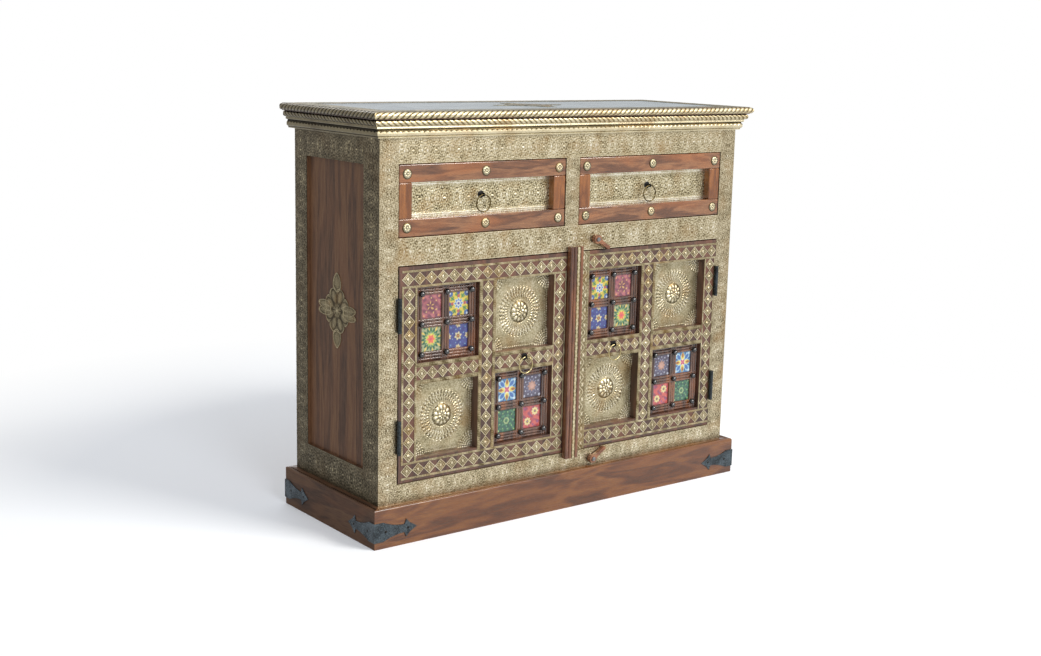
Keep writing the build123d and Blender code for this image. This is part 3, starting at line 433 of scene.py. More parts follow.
class Coating(Nodes):
    """A material's nodes round its one Principled shader."""

    def __init__(self, name: str) -> None:
        """Start a material."""
        self.material = bpy.data.materials.new(name)
        self.material.use_nodes = True
        super().__init__(self.material.node_tree)
        self.shader = self.tree.nodes["Principled BSDF"]

    def bump(self, height: Socket, strength: float, distance_mm: float,
             invert: bool = False) -> Socket:
        """Return normals that a height has bent."""
        inputs = {"Height": height, "Strength": strength, "Distance": distance_mm * MM}
        return self.add("Bump", inputs, invert=invert).outputs["Normal"]

    def done(self, inputs: dict) -> bpy.types.Material:
        """Set the shader's own sockets and return the material."""
        self.fill(self.shader, inputs)
        return self.material


@dataclass(frozen=True)
class StampedBrass:
    """Brass sheet embossed with dies and waxed over its tarnish.

    The tarnish stays in the hollows, olive brown and dull, and the crests are rubbed to pale
    gold. The hollows' dark colour is that tarnish together with painted shade, and the
    near-white glint on the highest crests is a painted highlight. The die's finest leaves are
    small cells a few millimetres wide, painted light in their middles and dark along their
    borders as sparkle and shade. Patches a hand wide are stained copper brown. Relief is read
    from the piece's own attribute, 0 in hollows and 1 on crests.
    """

    name: str
    hollow_tarnish_and_shade: str
    flank: str
    crest: str
    glint: str
    stain: str = "94703f"
    dull: float = 0.5
    bright: float = 0.27
    blotch_mm: float = 34.0
    cell_mm: float = 3.9
    painted_sparkle: float = 0.17

    def make(self) -> bpy.types.Material:
        """Build the material."""
        coat = Coating(self.name)
        relief = coat.add("Attribute", attribute_name="relief").outputs["Fac"]
        cells = coat.cells(self.cell_mm)
        drift = coat.spread(coat.noise(self.blotch_mm, 3.0), 0.3, 0.7, -0.10, 0.10)
        # painted sparkle and shade: lighter in each cell's middle, darker at its borders
        cell_sparkle_and_shade = coat.spread(cells, 0.1, 0.75, self.painted_sparkle, -self.painted_sparkle)
        wear_and_shade = coat.math("ADD", coat.math("ADD", relief, drift), cell_sparkle_and_shade)
        # dark hollows are tarnish with painted shade; the palest stop is a painted highlight
        colour = coat.ramp(wear_and_shade, [(0.06, self.hollow_tarnish_and_shade), (0.34, self.flank), (0.66, self.crest),
                                  (0.95, self.glint)])
        patch = coat.noise(1.7 * self.blotch_mm, 4.0)
        return coat.done({
            "Base Color": coat.mix(coat.spread(patch, 0.5, 0.72, 0.0, 0.4), colour, self.stain),
            "Roughness": coat.spread(wear_and_shade, 0.1, 0.8, self.dull, self.bright),
            "Metallic": 1.0,
            "Normal": coat.bump(cells, 0.3, 0.5, invert=True),
        })


class Grain(Enum):
    """Which way a board's grain runs, as the stretch of its figure on x, y and z."""

    ACROSS = (14.0, 1.0, 1.0)
    DEEP = (1.0, 14.0, 1.0)
    UPRIGHT = (1.0, 1.0, 14.0)
    LEVEL = (14.0, 14.0, 1.0)


@dataclass(frozen=True)
class OiledWood:
    """Indian rosewood, planed, stained and lacquered.

    Wandering dark rings, finer fibre streaks and short open pores, with warmer patches a
    hand long where the sapwood shows, under a clear coat that mirrors what is bright.
    """

    name: str
    dark: str
    body: str
    light: str
    grain: Grain
    gloss: float = 0.22
    coat: float = 0.5
    shine: float = 0.5
    warm: str = "8f5428"
    figure_mm: float = 26.0
    pull: float = 0.65
    patch_mm: float = 42.0
    fibre_mm: float = 2.2
    pore_mm: float = 1.1
    rings: float = 26.0

    def make(self) -> bpy.types.Material:
        """Build the material."""
        coat = Coating(self.name)

        def along(size: float, detail: float, bend: float, pull: float = 1.0) -> Socket:
            """Return noise stretched along the grain, by its stretch to the power of pull."""
            return coat.noise(tuple(size * s ** pull for s in self.grain.value), detail, bend)

        figure = along(self.figure_mm, 2.0, 0.6, self.pull)
        fibre = along(self.fibre_mm, 3.0, 0.2)
        waves = coat.math("SINE", coat.math("MULTIPLY", figure, self.rings))
        tone = coat.math("ADD", coat.spread(waves, -1.0, 1.0, 0.0, 0.34),
                         coat.spread(figure, 0.25, 0.75, 0.0, 0.42))
        tone = coat.math("ADD", tone, coat.spread(fibre, 0.25, 0.75, -0.08, 0.32))
        colour = coat.ramp(tone, [(0.05, self.dark), (0.5, self.body), (0.95, self.light)])
        patch = coat.spread(along(self.patch_mm, 1.0, 0.5, 0.5), 0.5, 0.72, 0.0, 0.5)
        pores = coat.spread(along(self.pore_mm, 1.0, 0.0), 0.60, 0.70, 0.0, 0.4)
        return coat.done({
            "Base Color": coat.mix(pores, coat.mix(patch, colour, self.warm), self.dark),
            "Roughness": coat.spread(fibre, 0.2, 0.8, self.gloss + 0.1, self.gloss),
            "Specular IOR Level": self.shine,
            "Coat Weight": self.coat,
            "Coat Roughness": 0.08,
            "Normal": coat.bump(fibre, 0.25, 0.2),
        })


@dataclass(frozen=True)
class ForgedIron:
    """Iron hammered by hand and blackened: dents a few millimetres wide, pale scuffs."""

    name: str
    dark: str
    pale: str
    dent_mm: float = 7.0
    scuff_mm: float = 3.2
    broad_mm: float = 26.0
    rough: float = 0.5
    metallic: float = 0.55

    def make(self) -> bpy.types.Material:
        """Build the material."""
        coat = Coating(self.name)
        dents = coat.cells(self.dent_mm, feature="SMOOTH_F1")
        broad = coat.spread(coat.noise(self.broad_mm, 2.0), 0.3, 0.7, -0.13, 0.13)
        scuff = coat.math("ADD", coat.noise(self.scuff_mm, 5.0), broad)
        return coat.done({
            "Base Color": coat.ramp(scuff, [(0.36, self.dark), (0.74, self.pale)]),
            "Roughness": coat.spread(scuff, 0.3, 0.7, self.rough + 0.1, self.rough - 0.12),
            "Metallic": self.metallic,
            "Normal": coat.bump(dents, 0.6, 0.9),
        })


@dataclass(frozen=True)
class PlainFinish:
    """A turned, dipped or drawn surface of one colour with slight unevenness."""

    name: str
    dark: str
    pale: str
    rough: float
    metallic: float = 0.0
    shine: float = 0.5
    mottle_mm: float = 3.0

    def make(self) -> bpy.types.Material:
        """Build the material."""
        coat = Coating(self.name)
        mottle = coat.noise(self.mottle_mm, 3.0)
        return coat.done({
            "Base Color": coat.ramp(mottle, [(0.3, self.dark), (0.7, self.pale)]),
            "Roughness": coat.spread(mottle, 0.3, 0.7, self.rough + 0.05, self.rough),
            "Metallic": self.metallic,
            "Specular IOR Level": self.shine,
        })


@dataclass(frozen=True)
class PaintedGlaze:
    """Earthenware tile painted under a clear glaze: colours bleed a little, glassy top."""

    name: str
    wash_mm: float = 5.0

    def make(self) -> bpy.types.Material:
        """Build the material."""
        coat = Coating(self.name)
        paint = coat.add("Attribute", attribute_name="paint").outputs["Color"]
        wash = coat.noise(self.wash_mm, 3.0)
        inputs = {"Color": paint, "Saturation": 0.9,
                  "Value": coat.spread(wash, 0.25, 0.75, 0.62, 0.86)}
        return coat.done({
            "Base Color": coat.add("HueSaturation", inputs).outputs["Color"],
            "Roughness": 0.14,
            "Coat Weight": 0.5,
            "Coat Roughness": 0.04,
            "Normal": coat.bump(wash, 0.2, 0.2),
        })


class Finish(Enum):
    """Every finish of the piece."""

    FRONT_BRASS = StampedBrass("stamped_brass_front", "5a4f38", "9c9075", "cbbfa2", "fbf6e6")
    # lighter copy of the front brass for the rails: painted light
    LIT_RAIL_BRASS = StampedBrass("stamped_brass_rails_painted_light", "5e533c", "a4987a", "d4c9ad", "fffbf0")
    # darker copy of the front brass for the sides: painted shade
    SHADED_SIDE_BRASS = StampedBrass(
        "stamped_brass_side_painted_shade", "322c1f", "4e4636", "706650", "a89d7c", "4a3a24", dull=0.6,
        painted_sparkle=0.15)
    TRIM_BRASS = StampedBrass(
        "rolled_brass_trim", "352c1b", "75694d", "a79b78", "d2c7a9", dull=0.55, bright=0.4,
        painted_sparkle=0.07)
    # darker copy of the trim brass for the side runs: painted shade
    SHADED_SIDE_TRIM_BRASS = StampedBrass(
        "rolled_brass_side_trim_painted_shade", "1b160e", "383223", "4f4735", "6b624b", "3c2d1e", dull=0.6,
        painted_sparkle=0.07)
    TOP_BRASS = StampedBrass(
        "stamped_brass_top", "2c281c", "56513c", "756f56", "a29c82", dull=0.6, bright=0.45)
    # darkened brass for the flowers on the sides: painted shade
    SHADED_MOTIF_BRASS = StampedBrass(
        "cut_brass_flower_painted_shade", "383022", "675d46", "867b60", "aea384", dull=0.6, bright=0.4,
        painted_sparkle=0.08)
    STUD_BRASS = StampedBrass(
        "cast_brass_stud", "3a3424", "7b745c", "a59d85", "d8d2c0", dull=0.5, bright=0.36,
        painted_sparkle=0.08)
    BAND_BRASS = StampedBrass(
        "pressed_brass_band", "51452d", "93876a", "c0b496", "e6ddc5", bright=0.38, painted_sparkle=0.1)
    PANEL_BRASS = StampedBrass(
        "repousse_brass_panel", "483f2c", "a39878", "cfc6aa", "f8f4e6", bright=0.34,
        cell_mm=3.4, painted_sparkle=0.2)
    SUN_BRASS = StampedBrass(
        "repousse_brass_sunburst", "40382a", "948a6c", "bdb397", "ede7d6", bright=0.36,
        cell_mm=3.4, painted_sparkle=0.18)
    RED_WOOD = OiledWood("rosewood_drawer_rail", "392012", "664129", "8d6443", Grain.ACROSS)
    RED_WOOD_UPRIGHT = OiledWood(
        "rosewood_drawer_stile", "4f2a12", "71431e", "8d592c", Grain.UPRIGHT, coat=0.35)
    DOOR_WOOD = OiledWood(
        "rosewood_door_frame", "2b1b14", "4b3227", "684838", Grain.UPRIGHT, gloss=0.42,
        coat=0.1, warm="6b3e27", figure_mm=34, pull=0.95)
    PANEL_WOOD = OiledWood(
        "rosewood_side_panel", "33231a", "5d402c", "77563a", Grain.UPRIGHT, gloss=0.5,
        coat=0.0, shine=0.2, warm="664530", figure_mm=38, pull=0.9)
    PLINTH_WOOD = OiledWood(
        "rosewood_plinth", "351d0f", "5e361b", "7e5228", Grain.ACROSS, coat=0.25,
        warm="6b3f20", figure_mm=44)
    # the plinth's side boards: grain run deep, and colours darker than the face board's as
    # painted shade
    SHADED_PLINTH_SIDE_WOOD = OiledWood(
        "rosewood_plinth_side_painted_shade", "291a10", "4d3423", "664a32", Grain.DEEP, gloss=0.5, coat=0.0,
        shine=0.2, warm="5a3821", figure_mm=44)
    LATTICE_WOOD = OiledWood(
        "rosewood_lattice", "261812", "4b3023", "6e4e3c", Grain.UPRIGHT, gloss=0.16, coat=0.8)
    ASTRAGAL_WOOD = OiledWood(
        "rosewood_astragal", "331d13", "5c3725", "7a5238", Grain.UPRIGHT, coat=0.35)
    LATCH_WOOD = OiledWood(
        "rosewood_latch", "4a2d1c", "774a31", "9a6c4a", Grain.ACROSS, gloss=0.35, coat=0.2,
        figure_mm=9.0)
    INNER_WOOD = OiledWood(
        "mango_wood_inside", "5c3f28", "8a6038", "a88050", Grain.ACROSS, gloss=0.5, coat=0.0,
        figure_mm=40, pull=0.95)
    BOX_WOOD = OiledWood(
        "mango_wood_drawer_box", "5c3f28", "8a6038", "a88050", Grain.LEVEL, gloss=0.5,
        coat=0.0, figure_mm=40, pull=0.95)
    IRON = ForgedIron("forged_iron_strap", "191f23", "566269")
    # darker than the straps' iron: painted shade for the shadow along the hinges
    SHADED_HINGE_IRON = ForgedIron("forged_iron_hinge_painted_shade", "101415", "373f43", dent_mm=4.0)
    # blue-grey colour that is a painted reflection of a pale room on the top
    TOP_LACQUER_AND_REFLECTION = PlainFinish(
        "lacquered_top_painted_reflection", "40535d", "4e626c", 0.2, shine=0.11, mottle_mm=60.0)
    EYE_IRON = PlainFinish("blackened_iron_eye", "0b0a09", "1c1917", 0.35, metallic=0.7)
    DULL_RING = PlainFinish(
        "drawn_brass_ring_darkened", "3a3120", "7d6e48", 0.35, metallic=1.0)
    RING_BRASS = PlainFinish("drawn_brass_ring", "8f8158", "d0c295", 0.25, metallic=1.0)
    STEEL = PlainFinish("steel_screw", "5c5c5c", "9a9a9a", 0.3, metallic=1.0)
    BEAD_LACQUER = PlainFinish("black_lacquered_bead", "030304", "08090c", 0.07, shine=1.0)
    GLAZE = PaintedGlaze("painted_glazed_earthenware")

    def material(self) -> bpy.types.Material:
        """Return the finish's material, which is built when it is first asked for."""
        return bpy.data.materials.get(self.value.name) or self.value.make()


def dress(finish: Finish, *nodes: str) -> None:
    """Give CAD nodes a finish."""
    for node in nodes:
        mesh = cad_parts[node].data
        mesh.materials.clear()
        mesh.materials.append(finish.material())


# ------------------------------------------------------------------ brass dies


@dataclass(frozen=True)
class Die:
    """The repeat stamped along the brass strips. Its sizes are for its own width.

    Args:
        width: of the strip that it was cut for; other strips scale it.
        period: length of one repeat.
        margin: plain edge with two lines, in the strip's own millimetres.
    """

    width: float = 50.0
    period: float = 54.0
    margin: float = 0.0

    def relief(self, s: np.ndarray, t: np.ndarray, half: float) -> np.ndarray:
        """Return the strip's relief, 0 to 1.

        The ground is close leafage, mirrored about the strip's middle and about each
        medallion. Medallions have two upright drops and eight petals, a long drop lies
        between them, and a seed stands in each corner. Beads and a plain fillet follow
        each edge, and the whole is slightly uneven.

        Args:
            s: distance along the strip.
            t: distance from its middle.
            half: half the strip's width.
        """
        edge = np.abs(t) - (half - self.margin)
        k = self.width / 2 / (half - self.margin)
        s, t = s * k, np.abs(t * k)
        a, b = np.abs(wrap(s, self.period)), wrap(s - self.period / 2, self.period)
        ground = leafage(a, t, 5.2)
        r, angle = np.hypot(a, t), np.arctan2(t, a)
        drops = dome(np.hypot((a - 6.2) / 2.6, t / 6.2), 1.0)
        long_drop = dome(np.hypot(b / 6.6, t / 2.4), 1.0)
        petals = dome(r - 13.2, 3.4) * np.abs(np.cos(4 * angle)) ** 1.2
        seeds = dome(np.hypot(b, t - 15.5), 2.4)
        beads = dome(np.hypot(wrap(s, 4.5), t - 21.2), 1.8)
        fillet = ridge(t - 24.2, 0.8)
        shapes = [0.24 + 0.56 * ground, drops, long_drop, 0.8 * petals, 0.8 * seeds,
                  0.75 * beads, 0.95 * fillet]
        field = highest(shapes) * (0.8 + 0.2 * wander(s, t, 7.0))
        lines = ridge(edge - 0.3 * self.margin, 1.0) + ridge(edge - 0.8 * self.margin, 1.0)
        return np.where(edge > 0, 0.62 + 0.38 * np.clip(lines, 0, 1), field)


@dataclass(frozen=True)
class Vine:
    """The die of the narrow strip beside the astragal: a wavy stem with leaves."""

    period: float = 38.0

    def relief(self, s: np.ndarray, t: np.ndarray, half: float) -> np.ndarray:
        """Return the relief, 0 to 1: a sine stem, a leaf in each bend and beaded edges."""
        p = self.period
        stem = ridge(t - 0.42 * half * np.sin(TURN * s / p), 1.1)
        b = wrap(s - p / 4, p / 2)
        bend = t + 0.3 * half * np.sign(np.sin(TURN * s / p))
        blades = highest([
            leaf(b * cos(q) * k + bend * sin(q) + 6, bend * cos(q) - b * sin(q) * k, 12.0, 5.2)
            for q in (0.55, -0.55) for k in (1, -1)
        ])
        seeds = 0.55 * dome(np.hypot(wrap(s, 3.8), wrap(t + 1.9 * np.round(s / 3.8), 4.0)), 1.7)
        beads = 0.85 * dome(np.hypot(wrap(s, 3.8), np.abs(t) - half + 2.4), 1.6)
        return highest([0.2 + 0 * stem, stem, 0.95 * blades, seeds, beads])


def petal_ring(r: np.ndarray, angle: np.ndarray, count: int, middle: float, long: float,
               wide: float, shift: float = 0.0) -> np.ndarray:
    """Return a ring of drops.

    A drop is where the distance from its middle, over its half length along the radius and
    its half width across it, is below one. Drops narrow towards the ring's centre.

    Args:
        r: distance from the ring's centre.
        angle: direction from it.
        count: drops in the ring.
        middle: radius at which the drops' middles stand.
        long: half length.
        wide: half width.
        shift: turn of the ring, as a share of the drops' spacing.
    """
    pitch = TURN / count
    off = wrap(angle - shift * pitch, pitch) * r
    taper = wide * np.clip(1 + 0.45 * (r - middle) / long, 0.3, 1.6)
    q = np.hypot((r - middle) / long, off / taper)
    return dome(q, 0.95)


@dataclass(frozen=True)
class Sunburst:
    """The repousse panel: a flower boss, rings of small flames, and beads at the border.

    Args:
        boss: the boss's radius.
        rise: its height.
        drops: flames in each ring.
        rings: each ring's middle radius, half length, half width and shift.
    """

    boss: float = 27.0
    rise: float = 5.2
    drops: int = 38
    rings: tuple[tuple[float, float, float, float], ...] = (
        (40.0, 5.4, 1.7, 0.0), (47.5, 6.2, 2.1, 0.5), (55.5, 6.6, 2.4, 0.0))

    def flower(self, r: np.ndarray, angle: np.ndarray) -> tuple[np.ndarray, np.ndarray]:
        """Return the boss's height and relief.

        It is a dome to the power 0.6, with two rings of drops and a crown.
        """
        outer = petal_ring(r, angle, 11, 18.6, 6.6, 4.3)
        inner = petal_ring(r, angle, 8, 8.2, 4.8, 2.3, 0.4)
        crown = dome(r, 2.2)
        height = self.rise * dome(r, self.boss) ** 0.6
        height = height + 1.9 * outer ** 0.7 + 2.0 * inner ** 0.7 + 1.6 * crown
        return height, 0.26 + 0.56 * highest([outer ** 0.5, inner ** 0.5, crown])

    def flames(self, u: np.ndarray, v: np.ndarray, r: np.ndarray,
               angle: np.ndarray) -> tuple[np.ndarray, np.ndarray]:
        """Return the rings of flames with their tips, and the painted shade between flames.

        The flames sway by a slow sine of the radius and are unevenly high.
        """
        sway = angle + 0.035 * np.sin(0.42 * r)
        rings = [petal_ring(r, sway, self.drops, *ring) ** 0.6 for ring in self.rings]
        rays = (0.62 + 0.32 * wander(u, v, 3.4)) * highest(rings)
        painted_gap_shade = (r > 36) * (r < 61) * np.clip(0.4 - rays, 0, 0.4)
        pitch = TURN / self.drops
        tips = dome(np.hypot(wrap(sway - pitch / 2, pitch) * r, r - 62.5), 2.0)
        return np.maximum(rays, 0.85 * tips), painted_gap_shade

    def border(self, u: np.ndarray, v: np.ndarray, in_u: np.ndarray,
               in_v: np.ndarray) -> np.ndarray:
        """Return quarter rounds of beads in the corners and rows of beads at the edges.

        Args:
            u: distance across from the middle.
            v: distance up from the middle.
            in_u: distance in from the nearer upright edge.
            in_v: distance in from the nearer level edge.
        """
        far, way = np.hypot(in_u, in_v), np.arctan2(in_v, in_u)
        spray = dome(np.hypot(wrap(far, 6.0) * 0.75, wrap(way, pi / 14) * far), 2.1)
        rows = [dome(np.hypot(wrap(v, 5.8), in_u - 3.4), 2.0),
                dome(np.hypot(wrap(u, 5.8), in_v - 3.4), 1.8),
                0.8 * dome(np.hypot(wrap(v + 2.9, 5.8), in_u - 8.6), 1.8)]
        return np.maximum(0.95 * spray * (far < 40), 0.9 * highest(rows))

    def relief(self, u: np.ndarray, v: np.ndarray, half_w: float,
               half_h: float) -> tuple[np.ndarray, np.ndarray]:
        """Return the panel's height in millimetres and its relief, 0 to 1.

        Round the boss stand a plain ring, dots, the flames and the border, on ground that is
        slightly uneven. Painted shade darkens it between flames, in a line round the boss's
        foot and about the border, in colour only.

        Args:
            u: distance across from the middle.
            v: distance up from the middle.
            half_w: half the panel's width.
            half_h: half its height.
        """
        r, angle = np.hypot(u, v), np.arctan2(v, u)
        boss, lit = self.flower(r, angle)
        rays, painted_gap_shade = self.flames(u, v, r, angle)
        in_u, in_v = half_w - np.abs(u), half_h - np.abs(v)
        dots = dome(np.hypot(wrap(angle, TURN / 30) * r, r - 31.6), 1.5)
        ring = ridge(r - self.boss - 1.6, 0.8)
        fine = highest([0.7 * ring, rays, 0.6 * dots, self.border(u, v, in_u, in_v)])
        # painted shade: darker ground about the corner sprays and side foliage, in colour only
        hollow_tarnish_and_shade = 0.14 * ((np.hypot(in_u, in_v) < 41) | (in_u < 11)) * (r > 66)
        # painted shade: a dark line round the boss's foot
        groove = ridge(r - self.boss - 0.2, 0.8)
        flat = 0.52 - hollow_tarnish_and_shade + (0.42 + hollow_tarnish_and_shade) * fine - 0.5 * painted_gap_shade - 0.4 * groove
        inside = r < self.boss
        height = np.where(inside, boss, 1.4 * fine + 1.1 * wander(u, v, 9.0) * (r > 30))
        return height, np.clip(np.where(inside, lit, flat), 0, 1)


@dataclass(frozen=True)
class Flower:
    """The cut-out brass flower: a rosette of eight petals laid over six leaves.

    One pointed leaf stands above and one below, and two blunt ones lie on each side.

    Args:
        body: radius of the rosette.
        tall: reach of the pointed leaves.
        wide: reach of the blunt leaves.
        rings: rings of points in the rosette.
        around: points in each.
    """

    body: float
    tall: float
    wide: float
    rings: int = 22
    around: int = 192

    def rosette(self, shell: Shell, place: Place, thick: float) -> None:
        """Add the rosette.

        The outline's radius is 0.84 of the body's, and 0.16 more by a power of the sine of
        four times the angle. Relief is the largest of a vein down each petal, a raised rim,
        a dome in the middle and a flat ground. It is less in the notches between petals and
        along an oval round each vein.
        """
        angle = np.arange(self.around) * TURN / self.around
        share = np.linspace(0.03, 1, self.rings)[:, None]
        crest = np.abs(np.sin(4 * angle)) ** 0.55
        reach = self.body * (0.84 + 0.16 * crest)
        r = share * reach
        axis = np.abs(wrap(angle - pi / 8, pi / 4)) * r
        notch = np.abs(wrap(angle, pi / 4)) * r
        inner = np.hypot((share - 0.63) / 0.3, axis / (0.24 * self.body * share ** 0.5))
        relief = highest([
            0.8 * ridge(axis, 1.1) * (share > 0.35) * (share < 0.86),
            0.9 * ridge((1 - share) * reach, 1.8),
            dome(r, 3.2),
            0.45 + 0 * r,
        ]) - 0.55 * ridge(notch, 1.3) * (share > 0.15) - 0.35 * ridge((inner - 1) * 6, 1.1)
        self.lay(shell, place, r * np.cos(angle), r * np.sin(angle), relief, thick)

    def side_leaf(self, shell: Shell, place: Place, turn: float, span: tuple[float, float],
                  wide: float, blunt: float, thick: float) -> None:
        """Add one leaf as rings about its own middle.

        An angle goes round the outline: the place along the leaf is its cosine, and the
        place across is a power of its sine, a quarter narrower at the tip and wider at the
        root. Relief is the largest of a midrib, slanting barbs, a raised rim and a flat
        ground, less a line inside the rim.
        """
        q = np.arange(72) * TURN / 72
        share = np.linspace(0.03, 1, 10)[:, None]
        long = (span[1] - span[0]) / 2
        x = long * np.cos(q)
        y = wide * np.sign(np.sin(q)) * np.abs(np.sin(q)) ** blunt * (1 - 0.25 * np.cos(q))
        u, v = share * x, share * y
        relief = highest([
            0.7 * ridge(v, 1.0),
            0.7 * ridge(wrap(u - 1.3 * np.abs(v), 6.0), 1.1),
            0.9 * ridge((1 - share) * wide, 1.4),
            0.4 + 0 * u,
        ]) - 0.3 * ridge((0.72 - share) * wide, 1.0)
        u = u + (span[0] + span[1]) / 2
        at, up = u * cos(turn) - v * sin(turn), u * sin(turn) + v * cos(turn)
        self.lay(shell, place, at, up, relief, thick)

    def lay(self, shell: Shell, place: Place, u: np.ndarray, v: np.ndarray,
            relief: np.ndarray, thick: float) -> None:
        """Close the rings' surface with a flat foot."""
        relief = np.clip(relief, 0.05, 1)
        top = place.at(u, v, thick * (0.55 + 0.75 * relief))
        foot = place.at(u[-1:], v[-1:], 0.0)
        shell.loft(np.concatenate([top, foot]), np.concatenate([relief, relief[-1:]]))

    def build(self, shell: Shell, place: Place, thick: float) -> None:
        """Add the leaves and lay the rosette over their roots."""
        for k in (0, 1):
            self.side_leaf(shell, place, pi * (0.5 + k), (0.8 * self.body, self.tall), 17.5,
                           1.2, 0.9 * thick)
            for tilt in (-0.11, 0.11):
                self.side_leaf(shell, place, pi * k + tilt, (0.5 * self.body, self.wide),
                               12.0, 0.75, 0.9 * thick)
        self.rosette(shell, place, thick)


def stamped_strip(shell: Shell, place: Place, length: float, width: float,
                  die: Die | Vine, step: float, thick: float, rise: float) -> None:
    """Add a brass strip with a die's relief.

    Args:
        shell: where the surface goes.
        place: the strip's back, its origin in the strip's middle.
        length: along the strip.
        width: across it.
        die: the pattern.
        step: spacing of the grid.
        thick: the sheet's thickness in its hollows.
        rise: height of the crests over the hollows.
    """
    s = np.linspace(-length / 2, length / 2, max(2, round(length / step)) + 1)[:, None]
    t = np.linspace(-width / 2, width / 2, max(2, round(width / step)) + 1)
    relief = die.relief(s, t, width / 2)
    shell.plate(place.at(s, t, thick + rise * relief), place.at(s, t, 0.0), relief)


# ------------------------------------------------------------------ the carcass


@dataclass
class Cladding:
    """Brass sheet over the posts and rails of the front and sides.

    Args:
        step: spacing of the front's grid.
        side_step: spacing of the sides'.
        side_in: how far the side sheets' backs lie under the CAD sheets' faces.
        thick: the sheet's thickness in its hollows.
        rise: height of the crests.
        die: the pattern.
    """

    step: float = 1.5
    side_step: float = 1.9
    side_in: float = 1.0
    thick: float = 0.6
    rise: float = 1.15
    die: Die = field(default_factory=Die)

    def strip(self, shell: Shell, place: Place, length: float, width: float,
              step: float) -> None:
        """Nail on one strip."""
        stamped_strip(shell, place, length, width, self.die, step, self.thick, self.rise)

    def front(self) -> None:
        """Cover the two posts and the divider upright, and the rails between them in a lighter
        copy of the same brass, which is painted light.
        """
        low, high = corners("front_brass")
        rails = [corners(f"face_rail_{name}") for name in ("top", "middle", "bottom")]
        open_x = rails[0][1][0]
        width = high[0] - open_x
        bar = corners("drawer_divider")
        posts, across = Shell(), Shell()
        for x, box, wide in ((-open_x - width / 2, (low, high), width),
                             (open_x + width / 2, (low, high), width),
                             (0.0, bar, bar[1][0] - bar[0][0])):
            z = (box[0][2] + box[1][2]) / 2
            self.strip(posts, front_at(x, high[1], z, upright=True), box[1][2] - box[0][2],
                       wide, self.step)
        for rail_low, rail_high in rails:
            z = (rail_low[2] + rail_high[2]) / 2
            self.strip(across, front_at(0.0, high[1], z), 2 * open_x,
                       rail_high[2] - rail_low[2], self.step)
        posts.piece("front_post_sheets", "carcass", "embossed_brass",
                    Finish.FRONT_BRASS, "front_brass")
        across.piece("front_rail_sheets", "carcass", "embossed_brass",
                     Finish.LIT_RAIL_BRASS, "front_brass")

    def sides(self) -> None:
        """Cover each side's posts upright and its two rails between them, in a darker copy of
        the front brass that is painted shade.
        """
        low, high = corners("side_brass")
        rail_low, rail_high = corners("side_rails")
        panel_low, panel_high = corners("side_panels")
        mid_y, mid_z = (rail_low[1] + rail_high[1]) / 2, (low[2] + high[2]) / 2
        shell = Shell()
        for hand in (-1, 1):
            x, out = hand * (high[0] - self.side_in), (hand, 0, 0)
            for y0, y1 in ((low[1], rail_low[1]), (rail_high[1], high[1])):
                self.strip(shell, Place((x, (y0 + y1) / 2, mid_z), UP, DEEP, out),
                           high[2] - low[2], y1 - y0, self.side_step)
            for z0, z1 in ((low[2], panel_low[2]), (panel_high[2], high[2])):
                self.strip(shell, Place((x, mid_y, (z0 + z1) / 2), DEEP, UP, out),
                           rail_high[1] - rail_low[1], z1 - z0, self.side_step)
        shell.piece("side_sheets", "carcass", "embossed_brass", Finish.SHADED_SIDE_BRASS,
                    "side_brass")

    def motifs(self) -> None:
        """Put a cut-out flower in the middle of each side panel, in brass darkened like the
        side sheets as painted shade.
        """
        low, high = corners("side_motifs")
        panel_low, panel_high = corners("side_panels")
        shell = Shell()
        flower = Flower(body=55.0, tall=90.0, wide=85.0)
        for hand in (-1, 1):
            middle = (hand * panel_high[0], (low[1] + high[1]) / 2, (low[2] + high[2]) / 2)
            flower.build(shell, Place(middle, DEEP, UP, (hand, 0, 0)), 1.3)
        shell.piece("side_flowers", "carcass", "embossed_brass", Finish.SHADED_MOTIF_BRASS,
                    "side_motifs")


Section = Callable[[np.ndarray, np.ndarray], tuple[np.ndarray, np.ndarray, np.ndarray]]


def carry_round(edge: tuple[float, float, float, float], section: Section, count: int,
                step: float, shells: list[Shell], mitred_rear: bool = False) -> None:
    """Carry a closed section round the left side, the face and the right side.

    A section's point lies out from the edge and up. A run starts and ends further along by
    as much as the point is out, so that two runs meet on the mitre. The side runs' rear ends
    are square, or mitred where they meet a board across the back.

    Args:
        edge: left x, right x, the face's y and the rear y.
        section: gives out, up and relief for distance along and share round.
        count: points round the section.
        step: spacing of the sections.
        shells: where the three runs go.
        mitred_rear: whether the rear ends are mitred.
    """
    left, right, face, rear = edge
    path = np.array([(left, rear), (left, face), (right, face), (right, rear)])
    away = np.array([(-1.0, 0.0), (0.0, -1.0), (1.0, 0.0)])
    share = np.arange(count) / count
    for k, shell in enumerate(shells):
        a, b = path[k], path[k + 1]
        length = float(np.linalg.norm(b - a))
        s = np.linspace(0, 1, max(1, round(length / step)) + 1)[:, None]
        outs, ups, relief = section(s * length, share)
        starts = -outs if k > 0 or mitred_rear else 0 * outs
        ends = outs if k < 2 or mitred_rear else 0 * outs
        along = s * length + starts * (1 - s) + ends * s
        xy = a + along[..., None] * (b - a) / length + outs[..., None] * away[k]
        shell.loft(np.concatenate([xy, ups[..., None]], -1), relief)


